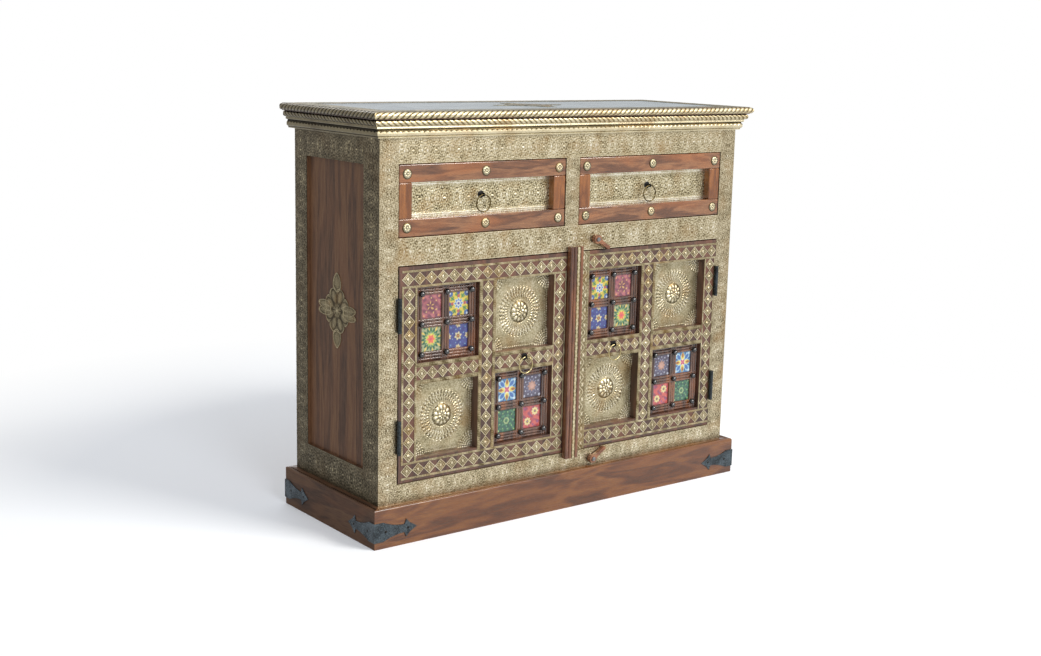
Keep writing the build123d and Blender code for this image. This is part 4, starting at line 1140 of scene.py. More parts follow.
@dataclass
class Cornice:
    """The stepped brass moulding and the two rope beads, carried round three sides.

    Args:
        rope_pitch: length of one strand along a rope.
        rope_twist: pitches that a strand climbs over the rope's visible half.
        rope_round: share of a rope's points that lie on its round, the rest being behind.
        arch_pitch: width of one half round on the moulding.
        arch_sunk: depth of the ground behind them.
        step: spacing of the sections.
        rear_gap: play about the plain rear run.
    """

    rope_pitch: float = 14.4
    rope_twist: float = 1.7
    rope_round: float = 0.9
    arch_pitch: float = 14.0
    arch_sunk: float = 1.7
    step: float = 1.7
    rear_gap: float = 0.5

    def carry(self, name: str, node: str, section: Section, count: int) -> None:
        """Make a section's face run one piece, and its side runs another in a darker copy of
        the trim brass, which is painted shade.

        Args:
            name: of the pieces.
            node: the CAD node that they stand for.
            section: gives out, up and relief for distance along and share round.
            count: points round the section.
        """
        face, sides = Shell(), Shell()
        low, high = corners("side_brass")
        carry_round((low[0], high[0], low[1], corners("top_board")[1][1]), section, count,
                    self.step, [sides, face, sides])
        face.piece(f"{name}_face", "carcass", "embossed_brass", Finish.TRIM_BRASS, node)
        if node == "cornice_moulding":
            self.rear(sides, node)
        sides.piece(f"{name}_sides", "carcass", "embossed_brass", Finish.SHADED_SIDE_TRIM_BRASS, node)

    def rear(self, shell: Shell, node: str) -> None:
        """Add the plain rear run between the ends of the sides' runs."""
        low, high = corners(node)
        body_low, body_high = corners("side_brass")
        gap = self.rear_gap
        shell.box((body_low[0] + gap, body_high[1], low[2] + gap),
                  (body_high[0] - gap, high[1], high[2] - 0.4 * gap))

    def rope(self, node: str, lean: int) -> None:
        """Twist a rope bead.

        Its radius is the full one less a groove, where the distance along plus a share
        that grows round the section is a whole number of pitches.

        Args:
            node: the CAD node that it stands for.
            lean: which way it is twisted, 1 or -1.
        """
        low, high = corners(node)
        radius = (high[2] - low[2]) / 2
        plane = corners("side_brass")[0][0] - low[0] - radius
        mid = (low[2] + high[2]) / 2

        def section(s: np.ndarray, share: np.ndarray) -> tuple[np.ndarray, ...]:
            """Return the rope's section, flat behind, at distances along."""
            turn = pi * (np.clip(share / self.rope_round, 0, 1) - 0.5)
            twist = lean * turn / pi * self.rope_twist
            strand = np.abs(np.sin(pi * (s / self.rope_pitch + twist)))
            relief = np.clip(1.15 * strand ** 0.8, 0, 0.95)
            r = radius * (0.84 + 0.16 * relief)
            back = share > self.rope_round
            outs = np.where(back, plane - 1.0, plane + r * np.cos(turn))
            ups = np.where(back, mid, mid + r * np.sin(turn))
            return outs, ups, np.where(back, 0.0, relief)

        self.carry(node.replace("bead", "twist"), node, section, 15)

    def moulding(self) -> None:
        """Roll the stepped moulding.

        From its foot up: a fillet, a broad band whose upper edge is a row of half rounds
        before a sunk ground, a bead, and the flat on which the lower rope lies. Behind the
        rope it goes on up to the board.
        """
        low, high = corners("cornice_moulding")
        base = low[2]
        # share round, out from the body, up from the foot
        points = np.array([
            (0.00, -1.0, 0.3), (0.03, 3.0, 0.1), (0.08, 7.6, 0.2), (0.13, 9.0, 1.8),
            (0.17, 9.2, 3.2), (0.20, 8.4, 4.2), (0.24, 10.8, 5.0), (0.29, 12.4, 6.4),
            (0.36, 13.2, 8.6), (0.42, 13.4, 10.8), (0.48, 13.2, 12.8), (0.54, 13.0, 14.8),
            (0.60, 12.8, 17.0), (0.66, 12.0, 19.0), (0.70, 11.6, 20.4), (0.74, 15.0, 21.2),
            (0.79, 16.0, 23.4), (0.84, 15.0, 25.6), (0.882, 15.6, 26.9), (0.911, 15.6, 41.8),
            (0.941, -1.0, 41.8), (0.97, -1.0, 20.0),
        ])

        def section(s: np.ndarray, share: np.ndarray) -> tuple[np.ndarray, ...]:
            """Return the moulding's section at distances along."""
            outs = np.interp(share, points[:, 0], points[:, 1]) + 0 * s
            ups = np.interp(share, points[:, 0], points[:, 2]) + 0 * s
            arch = np.abs(wrap(s, self.arch_pitch)) / (self.arch_pitch / 2)
            crown = 12.0 + 4.0 * np.sqrt(np.clip(1 - arch ** 2, 0, 1))
            sunk = (ups > crown) & (ups < 20.3) & (outs > 5)
            outs = outs - self.arch_sunk * sunk
            # the grooves and the sunk ground behind the half rounds are darkened in colour as
            # painted shade
            groove = ridge(ups - 4.3, 0.8) + ridge(ups - 20.3, 0.9)
            relief = np.clip(0.95 - 0.75 * groove - 0.7 * sunk, 0, 1)
            return outs, base + ups, relief

        self.carry("cornice_rolled", "cornice_moulding", section, 34)


@dataclass
class Top:
    """The lacquered board, its brass border and the brass flower in its middle; the field's
    blue-grey colour is a painted reflection.

    Args:
        border: width of the brass border.
        lap: how much of the lacquered field lies under it.
        step: spacing of the border's grid.
        thick: the border's thickness in its hollows.
        rise: height of its crests.
        field_sunk: how deep the field's layer starts in the board.
        field_proud: how high it stands over it.
    """

    border: float = 58.0
    lap: float = 1.0
    step: float = 2.3
    thick: float = 0.3
    rise: float = 0.7
    field_sunk: float = 0.4
    field_proud: float = 0.15

    def build(self) -> None:
        """Lay the border's four strips and the flower."""
        low, high = corners("top_brass")
        z, half, die = low[2], self.border / 2, Die()
        mid_x, mid_y = (low[0] + high[0]) / 2, (low[1] + high[1]) / 2
        long, short = high[0] - low[0], high[1] - low[1] - 2 * self.border
        strips = [(mid_x, low[1] + half, RIGHT, DEEP, long),
                  (mid_x, high[1] - half, RIGHT, DEEP, long),
                  (low[0] + half, mid_y, DEEP, RIGHT, short),
                  (high[0] - half, mid_y, DEEP, RIGHT, short)]
        shell = Shell()
        for x, y, along, across, length in strips:
            stamped_strip(shell, Place((x, y, z), along, across, UP), length, self.border, die,
                          self.step, self.thick, self.rise)
        flower = Flower(body=62.0, tall=107.0, wide=100.0)
        flower.build(shell, Place((mid_x, mid_y, z), DEEP, RIGHT, UP), 0.75)
        shell.piece("top_border", "carcass", "embossed_brass", Finish.TOP_BRASS,
                    "top_brass")
        dress(Finish.DOOR_WOOD, "top_board")
        # the field's blue-grey colour is a painted reflection
        inset = Shell()
        rim = self.border - self.lap
        inset.box((low[0] + rim, low[1] + rim, z - self.field_sunk),
                  (high[0] - rim, high[1] - rim, z + self.field_proud))
        inset.piece("top_field", "carcass", "polished_wood", Finish.TOP_LACQUER_AND_REFLECTION)


@dataclass
class Carcass:
    """Plinth, straps and every board that keeps its CAD shape.

    Args:
        plinth_edge: width of the bead along the plinth's upper edge.
        nail_r: radius of a nail's head.
        nail_in: how far its foot lies under the strap's face.
        nail_at: distances of a leg's two nails from the corner.
    """

    plinth_edge: float = 7.0
    nail_r: float = 4.2
    nail_in: float = 1.2
    nail_at: tuple[float, float] = (31.0, 92.0)

    def dress_boards(self) -> None:
        """Give the plinth, posts and boards their woods and the hinges their iron."""
        dress(Finish.PLINTH_WOOD, "plinth_back")
        dress(Finish.PANEL_WOOD, "side_panels", "back_frame", "side_rails")
        dress(Finish.DOOR_WOOD, "front_posts", "drawer_divider")
        dress(Finish.INNER_WOOD, "face_rail_top", "face_rail_middle", "face_rail_bottom",
              "back_panel", "floor_board", "shelf_board", "bearers")
        dress(Finish.IRON, "corner_straps")
        dress(Finish.SHADED_HINGE_IRON, "post_hinges")
        dress(Finish.STEEL, "latch_screws")

    def plinth(self) -> None:
        """Plane the plinth's face and side boards.

        Their section is square but for its upper side, which has a bead along the outer
        edge and a quirk behind it.
        """
        low, high = corners("plinth_front")
        top, thick, edge = high[2] - low[2], high[1] - low[1], self.plinth_edge
        outline = np.array([
            (-thick, 0), (0, 0), (0, top - edge), (-0.3, top - 0.66 * edge),
            (-0.12 * edge, top - 0.4 * edge), (-0.3 * edge, top - 0.16 * edge),
            (-0.58 * edge, top - 0.03 * edge), (-0.85 * edge, top), (-1.15 * edge, top - 0.5),
            (-1.4 * edge, top - 1.6), (-1.5 * edge, top - 3.4), (-1.64 * edge, top - 3.4),
            (-1.7 * edge, top - 0.4), (-thick, top - 0.2)])

        def section(s: np.ndarray, share: np.ndarray) -> tuple[np.ndarray, ...]:
            """Return the outline, the same all along."""
            outs, ups = outline[:, 0] + 0 * s, low[2] + outline[:, 1] + 0 * s
            return outs, ups, 0.5 + 0 * outs

        face, sides = Shell(), Shell()
        rear = corners("plinth_sides")[1][1]
        carry_round((low[0], high[0], low[1], rear), section, len(outline), 200.0,
                    [sides, face, sides], mitred_rear=True)
        face.piece("plinth_face_board", "carcass", "plinth_wood", Finish.PLINTH_WOOD,
                   "plinth_front")
        # the side boards' darker wood is painted shade
        sides.piece("plinth_side_boards", "carcass", "plinth_wood",
                    Finish.SHADED_PLINTH_SIDE_WOOD, "plinth_sides")

    def strap_nails(self) -> None:
        """Drive two domed nails through each leg of the straps but those on the back."""
        low, high = corners("corner_straps")
        mid_z = (low[2] + high[2]) / 2
        shell = Shell()
        profile = [(self.nail_r, -0.5), (self.nail_r, 0.2), (self.nail_r * 0.8, 1.3),
                   (self.nail_r * 0.4, 1.9), (0.3, 2.0)]
        for hand in (-1, 1):
            x_face = hand * high[0] - hand * self.nail_in
            for at in self.nail_at:
                x = hand * (high[0] - at)
                lathe(shell, front_at(x, low[1] + self.nail_in, mid_z), profile, 14)
                for y in (low[1] + at, high[1] - at):
                    lathe(shell, Place((x_face, y, mid_z), DEEP, UP, (hand, 0, 0)), profile, 14)
        shell.piece("strap_nails", "carcass", "black_iron", Finish.EYE_IRON)


# ------------------------------------------------------------------ drawers and pulls


@dataclass
class Pull:
    """An iron eye on a round plate and the ring that hangs in it.

    Args:
        kind: drawer or door.
        side: left or right.
        eye_node: the eye's CAD node.
        ring_finish: what the ring is made of.
        ball: radius of the ball on the ring, or nothing.
        ball_at: degrees from the ring's top to the ball.
        wire: radius of the ring's wire.
        eye_r: radius of the eye's loop.
        eye_wire: radius of its wire.
    """

    kind: str
    side: str
    eye_node: str
    ring_finish: Finish
    ball: float = 0.0
    ball_at: float = 40.0
    wire: float = 1.6
    eye_r: float = 3.4
    eye_wire: float = 1.45

    def eye(self, x: float, y: float, z: float) -> None:
        """Forge the eye: a round plate, a shank and a loop about the given middle."""
        low, high = corners(self.eye_node)
        plate_r, foot = (high[0] - low[0]) / 2, high[1] - 1.0
        shell = Shell()
        lathe(shell, front_at(x, high[1], z),
              [(plate_r, 0), (plate_r, 0.8), (plate_r * 0.8, 1.7), (0.5, 2.0)], 28)
        angle = np.arange(24) * TURN / 24
        loop = np.stack([0 * angle + x, y + self.eye_r * np.cos(angle),
                         z + self.eye_r * np.sin(angle)], 1)
        tube(shell, loop, RIGHT, self.eye_wire, 10)
        lathe(shell, front_at(x, foot, z),
              [(2.2, 0), (2.0, foot - y - 4.4), (0.6, foot - y - 3.6)], 12)
        shell.piece(f"{self.kind}_forged_eye_{self.side}", f"{self.kind}_{self.side}",
                    "black_iron", Finish.EYE_IRON, self.eye_node)

    def build(self) -> None:
        """Forge the eye and bend the ring, each inside its CAD node's box."""
        low, high = corners(self.eye_node)
        node = f"{self.kind}_ring_{self.side}"
        ring_low, ring_high = corners(node)
        x, z = (low[0] + high[0]) / 2, (low[2] + high[2]) / 2
        y = (ring_low[1] + ring_high[1]) / 2
        self.eye(x, y, z)
        shell = Shell()
        radius = (ring_high[0] - ring_low[0]) / 2 - self.wire
        angle = np.arange(72) * TURN / 72
        middle = z - radius
        loop = np.stack([x + radius * np.sin(angle), 0 * angle + y,
                         middle + radius * np.cos(angle)], 1)
        tube(shell, loop, FRONT, self.wire, 12)
        if self.ball:
            at = radians(self.ball_at)
            turn = np.linspace(-pi / 2 + 0.1, pi / 2 - 0.1, 11)
            profile = [(self.ball * cos(q), self.ball * sin(q)) for q in turn]
            place = front_at(x + radius * sin(at), y, middle + radius * cos(at))
            lathe(shell, place, profile, 18)
        shell.piece(f"{self.kind}_wire_ring_{self.side}", node, "bright_brass",
                    self.ring_finish, node)


@dataclass
class Drawer:
    """One drawer: its frame of four members, embossed panel, rosette studs and pull.

    Args:
        side: left or right.
        rail: height of a rail.
        stile: width of a stile.
        stile_in: how much deeper the stiles' faces lie.
        round_mm: radius of the members' edges.
        stud_in: from the frame's edges to the corner studs' middles.
        stud_r: radius of a stud.
        panel_step: spacing of the panel's grid.
        panel_rise: height of the panel's crests.
    """

    side: str
    rail: float = 41.0
    stile: float = 35.0
    stile_in: float = 0.3
    round_mm: float = 2.6
    stud_in: float = 21.0
    stud_r: float = 11.8
    panel_step: float = 1.3
    panel_rise: float = 1.3
    body: str = field(init=False)

    def __post_init__(self) -> None:
        """Name the body."""
        self.body = f"drawer_{self.side}"

    def frame(self) -> None:
        """Set the rails across the whole front and the stiles between them, edges rounded."""
        node = f"drawer_frame_{self.side}"
        (x0, y0, z0), (x1, y1, z1) = corners(node)
        level, upright = Finish.RED_WOOD, Finish.RED_WOOD_UPRIGHT
        y = y0 + self.stile_in
        z_low, z_high = z0 + self.rail, z1 - self.rail
        members = (
            ("rail_low", (x0, y0, z0), (x1, y1, z_low), level),
            ("rail_high", (x0, y0, z_high), (x1, y1, z1), level),
            ("stile_outer", (x0, y, z_low), (x0 + self.stile, y1, z_high), upright),
            ("stile_inner", (x1 - self.stile, y, z_low), (x1, y1, z_high), upright),
        )
        for name, low, high, finish in members:
            shell = Shell()
            shell.box(low, high)
            obj = shell.piece(f"drawer_{name}_{self.side}", self.body, "red_wood", finish,
                              node)
            bevel = obj.modifiers.new("round", "BEVEL")
            bevel.width = self.round_mm * MM
            bevel.segments = 3
        dress(Finish.BOX_WOOD, f"drawer_box_{self.side}")

    def panel(self) -> None:
        """Emboss the sunk panel between two plain lined margins."""
        node = f"drawer_panel_{self.side}"
        low, high = corners(node)
        shell = Shell()
        back = front_at((low[0] + high[0]) / 2, high[1], (low[2] + high[2]) / 2)
        stamped_strip(shell, back, high[0] - low[0], high[2] - low[2], Die(margin=9.0),
                      self.panel_step, high[1] - low[1] - 0.6, self.panel_rise)
        shell.piece(f"drawer_embossed_{self.side}", self.body, "embossed_brass",
                    Finish.PANEL_BRASS, node)

    def studs(self) -> None:
        """Press the rosette studs.

        The height is a dome, scalloped between petals by the cosine of the angle, with a
        raised eye in the middle and a plain collar round it.
        """
        node = f"drawer_studs_{self.side}"
        (x0, y0, z0), (x1, y1, z1) = corners(f"drawer_frame_{self.side}")
        shell = Shell()
        angle = np.arange(40) * TURN / 40
        share = np.array([1.0, 1.0, 0.93, 0.86, 0.78, 0.68, 0.56, 0.44, 0.34, 0.28, 0.2, 0.1,
                          0.02])[:, None]
        petal = np.abs(np.cos(5 * angle)) ** 0.6
        swell = np.sin(pi * np.clip((share - 0.28) / 0.58, 0, 1)) ** 0.8
        relief = np.maximum(swell * (0.35 + 0.65 * petal), dome(share, 0.26))
        height = 1.2 + 1.6 * (1 - share ** 2) + 1.5 * relief
        height[0] = 0.0
        height[1] = 1.0
        relief = 0.35 + 0.4 * np.clip(relief, 0, 1)
        relief[:3] = 0.0
        for x in (x0 + self.stud_in, (x0 + x1) / 2, x1 - self.stud_in):
            for z in (z0 + self.stud_in, z1 - self.stud_in):
                place = front_at(x, y0, z)
                u, v = self.stud_r * share * np.cos(angle), self.stud_r * share * np.sin(angle)
                shell.loft(place.at(u, v, height), relief)
        shell.piece(f"drawer_rosettes_{self.side}", self.body, "bright_brass",
                    Finish.STUD_BRASS, node)

    def build(self) -> None:
        """Make every piece of the drawer."""
        self.frame()
        self.panel()
        self.studs()
        Pull("drawer", self.side, f"drawer_staple_{self.side}", Finish.DULL_RING).build()


# ------------------------------------------------------------------ tiles


class TileArt:
    """Paint for one tile on a square canvas from -1 to 1 each way."""

    SIZE = 58

    def __init__(self, ground: str, uneven: str | None = None) -> None:
        """Lay the ground colour, mottled with a second one where it is given."""
        line = np.linspace(-1, 1, self.SIZE)
        self.x, self.y = np.meshgrid(line, line, indexing="ij")
        self.r = np.hypot(self.x, self.y)
        self.rgb = np.ones((*self.x.shape, 3)) * rgba(ground)[:3]
        if uneven:
            self.cloud((0, 0), 0.16, 0.35, uneven, 0.5)

    def lay(self, inside: np.ndarray, code: str, soft: float = 0.05) -> None:
        """Paint where a field is above zero, fading over a soft edge."""
        share = np.clip(0.5 + inside / soft, 0, 1)[..., None]
        self.rgb = self.rgb * (1 - share) + np.array(rgba(code)[:3]) * share

    def cloud(self, shift: tuple[float, float], scale: float, level: float, code: str,
              soft: float) -> None:
        """Paint patches where shifted unevenness of a scale is over a level."""
        field = wander(self.x + shift[0], self.y + shift[1], scale)
        self.lay(field - level, code, soft)

    def smudge(self, radius: float, code: str) -> None:
        """Paint a soft uneven round in the middle."""
        self.lay(radius - self.r + 0.2 * wander(self.x, self.y, 0.1), code, 0.4)

    def disc(self, x: float, y: float, r: float, code: str) -> None:
        """Paint a disc."""
        self.lay(r - np.hypot(self.x - x, self.y - y), code)

    def petals(self, count: int, span: tuple[float, float], width: float, code: str,
               shift: float = 0.0, at: tuple[float, float] = (0.0, 0.0)) -> None:
        """Paint a ring of petals, each as wide as a sine from its root to its tip."""
        x, y = self.x - at[0], self.y - at[1]
        r, a = np.hypot(x, y), np.arctan2(y, x)
        pitch = TURN / count
        share = np.clip((r - span[0]) / (span[1] - span[0]), 0, 1)
        off = np.abs(wrap(a - shift * pitch, pitch)) * r
        half = width * np.sin(pi * share)
        self.lay(np.where((share > 0) & (share < 1), half - off, -1), code)

    def ring(self, radius: float, half: float, code: str) -> None:
        """Paint a ring about the middle."""
        self.lay(half - np.abs(self.r - radius), code)

    def dots(self, spots: list[tuple[float, float]], r: float, code: str) -> None:
        """Paint dots."""
        for x, y in spots:
            self.disc(x, y, r, code)


CLOUD, SMUDGE, DISC, DOTS = TileArt.cloud, TileArt.smudge, TileArt.disc, TileArt.dots
PETALS, RING = TileArt.petals, TileArt.ring
FOUR = [(1, 1), (-1, 1), (-1, -1), (1, -1)]
MIDDLES = [(0.92, 0), (-0.92, 0), (0, 0.92), (0, -0.92)]
PAIR = [(0.42, 0.45), (-0.42, -0.42)]


def scaled(spots: list[tuple[float, float]], k: float) -> list[tuple[float, float]]:
    """Return spots moved out from the middle by a factor."""
    return [(k * x, k * y) for x, y in spots]


def round_spots(count: int, radius: float, shift: float = 0.0) -> list[tuple[float, float]]:
    """Return points evenly round a circle."""
    turns = [(k + shift) * TURN / count for k in range(count)]
    return [(radius * cos(t), radius * sin(t)) for t in turns]


class Tile(Enum):
    """The tiles' traditional flower patterns: the ground's colours, then stroke on stroke."""

    PINK = (("9a434e", "ad6064"), (
        (CLOUD, (3, 0), 0.11, 0.55, "7a3c52", 0.3),
        (SMUDGE, 0.42, "6e384a"),
        (PETALS, 5, (0.1, 0.42), 0.05, "cf9c4e", 0.2, (-0.1, 0.05)),
        (PETALS, 3, (0.1, 0.34), 0.06, "cfa458", 0.1, (0.3, -0.35)),
        (DOTS, ((0.8, 0.8), (-0.8, 0.75), (0.75, -0.8), (-0.75, -0.8)), 0.1, "cf8658"),
        (DOTS, ((0.5, 0.45), (-0.5, -0.45), (0, 0.7)), 0.06, "cfae62")))
    YELLOW = (("cdb726",), (
        (DOTS, scaled(FOUR, 0.84), 0.26, "3a629c"),
        (DOTS, scaled(FOUR, 0.9), 0.1, "c9d2dc"),
        (PETALS, 8, (0.5, 1.05), 0.1, "3d7f4a", 0.25),
        (PETALS, 16, (0.66, 0.98), 0.05, "3d7f4a"),
        (DOTS, scaled(MIDDLES, 0.7), 0.14, "b04a4a"),
        (DOTS, scaled(MIDDLES, 1.02), 0.16, "5a4a8e"),
        (PETALS, 8, (0.1, 0.52), 0.15, "d3d6cc"),
        (PETALS, 8, (0.12, 0.46), 0.1, "4f84b8"),
        (RING, 0.17, 0.05, "d3d6cc"),
        (DISC, 0, 0, 0.12, "5c4796")))
    GREEN = (("a0a67c",), (
        (PETALS, 16, (0.6, 1.0), 0.1, "1a613e"),
        (PETALS, 16, (0.46, 0.8), 0.06, "2b7a49", 0.5),
        (PETALS, 16, (1.02, 1.4), 0.12, "2a7748", 0.5),
        (PETALS, 8, (0.7, 1.3), 0.07, "d9b83a", 0.25),
        (PETALS, 8, (0.15, 0.62), 0.12, "b5c43e", 0.5),
        (PETALS, 8, (0.1, 0.5), 0.1, "e6b840"),
        (PETALS, 6, (0.0, 0.42), 0.14, "dc5a32"),
        (DISC, 0, 0, 0.12, "c9344a")))
    BLUE = (("29337a", "384288"), (
        (DOTS, round_spots(8, 0.62, 0.5), 0.05, "6f9cc0"),
        (DOTS, scaled(FOUR, 0.75), 0.06, "5f93b8"),
        *((PETALS, 6, (0.02, 0.3), 0.08, "c4b98c", 0.25, spot)
          for spot in scaled(MIDDLES, 1.06)),
        (DOTS, scaled(MIDDLES, 1.08), 0.1, "b98444"),
        (PETALS, 6, (0.05, 0.4), 0.12, "ccc195", 0.25),
        (DISC, 0, 0, 0.17, "7d4a26"),
        (DISC, 0, 0, 0.07, "c78f44")))
    CROSS = (("3578b2", "4789bb"), (
        (PETALS, 4, (0.25, 1.3), 0.34, "8fc0da", 0.5),
        (PETALS, 4, (0.4, 1.1), 0.18, "2c64ac", 0.5),
        (PETALS, 8, (0.62, 1.1), 0.07, "1f4a86", 0.5),
        (DOTS, scaled(FOUR, 0.84), 0.12, "cfe0e8"),
        (PETALS, 4, (0.12, 1.0), 0.23, "dcc648"),
        (PETALS, 4, (0.4, 0.95), 0.13, "9c5a26"),
        (PETALS, 8, (0.05, 0.38), 0.09, "e6dcae", 0.5),
        (PETALS, 4, (0.0, 0.36), 0.12, "b8446e", 0.5),
        (DISC, 0, 0, 0.13, "c84f70")))
    PLUM = (("454052", "544e66"), (
        (DOTS, round_spots(12, 0.82), 0.07, "a4a8bc"),
        (DOTS, round_spots(12, 0.6, 0.5), 0.05, "8286a4"),
        (DOTS, scaled(FOUR, 0.86), 0.12, "b0b4c4"),
        (RING, 0.48, 0.03, "75728c"),
        (PETALS, 8, (0.05, 0.5), 0.15, "a87e6c"),
        (DISC, 0, 0, 0.26, "bd9080")))
    DARK_GREEN = (("1d4a3e", "275c4c"), (
        (CLOUD, (0, 2), 0.08, 0.62, "3c7a50", 0.2),
        (DOTS, round_spots(9, 0.78), 0.06, "84b066"),
        (DOTS, round_spots(7, 0.52, 0.3), 0.05, "5fa074"),
        (DOTS, scaled(FOUR, 0.85), 0.07, "a4bf72"),
        (RING, 0.24, 0.05, "a9b984"),
        (PETALS, 6, (0.1, 0.4), 0.05, "7fa866")))
    RED = (("b83236", "c84a40"), (
        (CLOUD, (1, 0), 0.12, 0.6, "8d3552", 0.25),
        (DOTS, ((0.2, -0.75), (-0.8, 0.8), (0.75, -0.55), (-0.1, 0.1)), 0.1, "8d3f78"),
        *((PETALS, 8, (0.08, 0.4), 0.12, "d9c88c", 0.0, spot) for spot in PAIR),
        (DOTS, PAIR, 0.17, "dcc048"),
        (DOTS, PAIR, 0.12, "3c2a3c"),
        (DOTS, PAIR, 0.05, "b9a0b0")))

    def paint(self) -> np.ndarray:
        """Return the tile's colours, linear light on the canvas."""
        ground, strokes = self.value
        art = TileArt(*ground)
        for stroke, *how in strokes:
            stroke(art, *how)
        return art.rgb


# ------------------------------------------------------------------ doors


@dataclass
class Door:
    """One door: frame, diamond bands, sunburst panels, tile lattices and fittings.

    Args:
        side: left or right.
        first: width of the frame's left stile.
        last: width of its right stile.
        tiles: for each opening with a lattice, its four tiles from the upper left.
        mullion: width of the middle stile.
        rails: heights of the frame's rails, from the foot up.
        band: width of the outer bands.
        diamond: width of a chain of diamonds.
        pitch: about the length of one diamond.
        tip_lap: how much a diamond's tips reach under its neighbours'.
        drop: how far the lowest band lies under the rail's edge.
        lattice_in: depth from the frame's face to the lattice's.
        tile_back: depth to the tiles' backs.
        tile_thick: of a tile at its edge.
        pillow: how much more in its middle.
        bar: width of a reeded bar.
        reeds: on one bar.
        reed_rise: height of a reed.
        reed_share: share of its width that is round.
        cross_in: how much deeper the level bars lie.
        panel_in: depth to the sunburst panels' backs.
        bead_in: from an opening's edge to the middles of the beads.
        bead_r: radius of a bead.
        bead_in_y: depth of a bead's foot under the lattice's face.
        sun_step: spacing of the sunbursts' grid.
        edge_step: spacing along the bands' edge strips.
    """

    side: str
    first: float
    last: float
    tiles: dict[tuple[int, int], list[Tile]]
    mullion: float = 49.0
    rails: tuple[float, float, float] = (52.5, 49.5, 49.5)
    band: float = 41.0
    diamond: float = 31.0
    pitch: float = 31.5
    tip_lap: float = 0.5
    drop: float = 5.0
    lattice_in: float = 10.0
    tile_back: float = 21.0
    tile_thick: float = 5.6
    pillow: float = 0.4
    bar: float = 22.0
    reeds: int = 3
    reed_rise: float = 2.7
    reed_share: float = 0.96
    cross_in: float = 0.7
    panel_in: float = 25.0
    bead_in: float = 17.5
    bead_r: float = 7.2
    bead_in_y: float = 3.2
    sun_step: float = 1.2
    edge_step: float = 1.6
    body: str = field(init=False)
    columns: list[float] = field(init=False)
    rows: list[float] = field(init=False)
    face: float = field(init=False)

    def __post_init__(self) -> None:
        """Work out the lines between the members from the frame's box."""
        self.body = f"door_{self.side}"
        low, high = corners(f"door_frame_{self.side}")
        wide = (high[0] - low[0] - self.first - self.last - self.mullion) / 2
        tall = (high[2] - low[2] - sum(self.rails)) / 2
        across = [self.first, wide, self.mullion, wide, self.last]
        up = [self.rails[0], tall, self.rails[1], tall, self.rails[2]]
        self.columns = list(low[0] + np.cumsum([0.0, *across]))
        self.rows = list(low[2] + np.cumsum([0.0, *up]))
        self.face = low[1]

    def cell(self, place: tuple[int, int]) -> tuple[float, float, float, float]:
        """Return an opening's low x, high x, low z and high z."""
        i, k = place
        return self.columns[i], self.columns[i + 1], self.rows[k], self.rows[k + 1]

    def band_lines(self) -> list[tuple[float, float, bool, float, float]]:
        """Return each band's middle x and z, whether it runs across, its length and width."""
        c, r = self.columns, self.rows
        left = self.side == "left"
        low_x = c[1] - self.band if left else c[1]
        mid_x, wide = (low_x + c[5]) / 2, c[5] - low_x
        mid_z, tall = (r[1] - self.drop + r[4]) / 2, r[4] - r[1] + self.drop
        lines = [(mid_x, z, True, wide, self.band)
                 for z in (r[4] + self.band / 2, r[1] - self.drop - self.band / 2)]
        lines += [((c[k] + c[k + 1]) / 2, (r[2] + r[3]) / 2, True, c[k + 1] - c[k],
                   self.rails[1]) for k in (1, 3)]
        lines.append(((c[2] + c[3]) / 2, mid_z, False, tall, self.mullion))
        if left:
            lines.append((c[1] - self.band / 2, mid_z, False, tall, self.band))
        lines.append(((c[4] + c[5]) / 2, mid_z, False, tall, self.last))
        return lines

    def diamond_rings(self, place: Place, at: float, tip: float, half: float,
                      shell: Shell) -> None:
        """Add one diamond.

        Rings of sixteen points follow the outline, where the shares along and across add
        up to one. Its two rims are raised, eight small petals stand inside them and a long
        drop in the middle.
        """
        turn = np.arange(16) * TURN / 16
        c, s = np.cos(turn), np.sin(turn)
        edge = 1 / (np.abs(c) + np.abs(s))
        profile = np.array([  # share of the way out, height, relief, petals' share
            (0.08, 2.3, 0.85, 0.0), (0.27, 1.9, 0.7, 0.0), (0.34, 0.8, 0.08, 0.0),
            (0.44, 0.8, 0.26, 0.5), (0.60, 0.9, 0.3, 0.7), (0.70, 0.6, 0.06, 0.1),
            (0.78, 1.0, 0.5, 0.0), (0.84, 0.8, 0.1, 0.0), (0.92, 1.2, 0.9, 0.0),
            (1.00, 1.0, 0.75, 0.0), (1.00, 0.0, 0.2, 0.0)])
        share, height, relief, petals = (profile[:, k : k + 1] for k in range(4))
        petal = petals * np.abs(np.cos(4 * turn)) ** 0.8
        u = at + tip * share * edge * c * np.where(share < 0.3, 0.6, 1.0)
        v = half * share * edge * s * np.where(share < 0.3, 1.25, 1.0)
        shell.loft(place.at(u, v, height + petal), relief + 0.6 * petal)

    def bands(self) -> None:
        """Lay the diamond chains and their edge strips, and the strips by the astragal."""
        shell = Shell()
        y = self.face
        for x, z, across, length, width in self.band_lines():
            place = front_at(x, y, z, upright=not across)
            strip = (width - self.diamond) / 2
            for hand in (-1, 1):
                self.edge_strip(shell, place, length, hand * (width - strip) / 2, strip)
            count = max(1, round(length / self.pitch))
            pitch = length / count
            for k in range(count):
                at = (k - (count - 1) / 2) * pitch
                self.diamond_rings(place, at, pitch / 2 + self.tip_lap,
                                   self.diamond / 2 - 0.1, shell)
        if self.side == "right":
            low, high = corners("astragal")
            x0, x1 = high[0], self.columns[1]
            z0, z1 = self.rows[0], self.rows[5]
            place = front_at((x0 + x1) / 2, y, (z0 + z1) / 2, upright=True)
            stamped_strip(shell, place, z1 - z0, x1 - x0, Vine(), step=1.5, thick=0.7,
                          rise=1.0)
        shell.piece(f"door_diamonds_{self.side}", self.body, "bright_brass",
                    Finish.BAND_BRASS, f"door_bands_{self.side}")

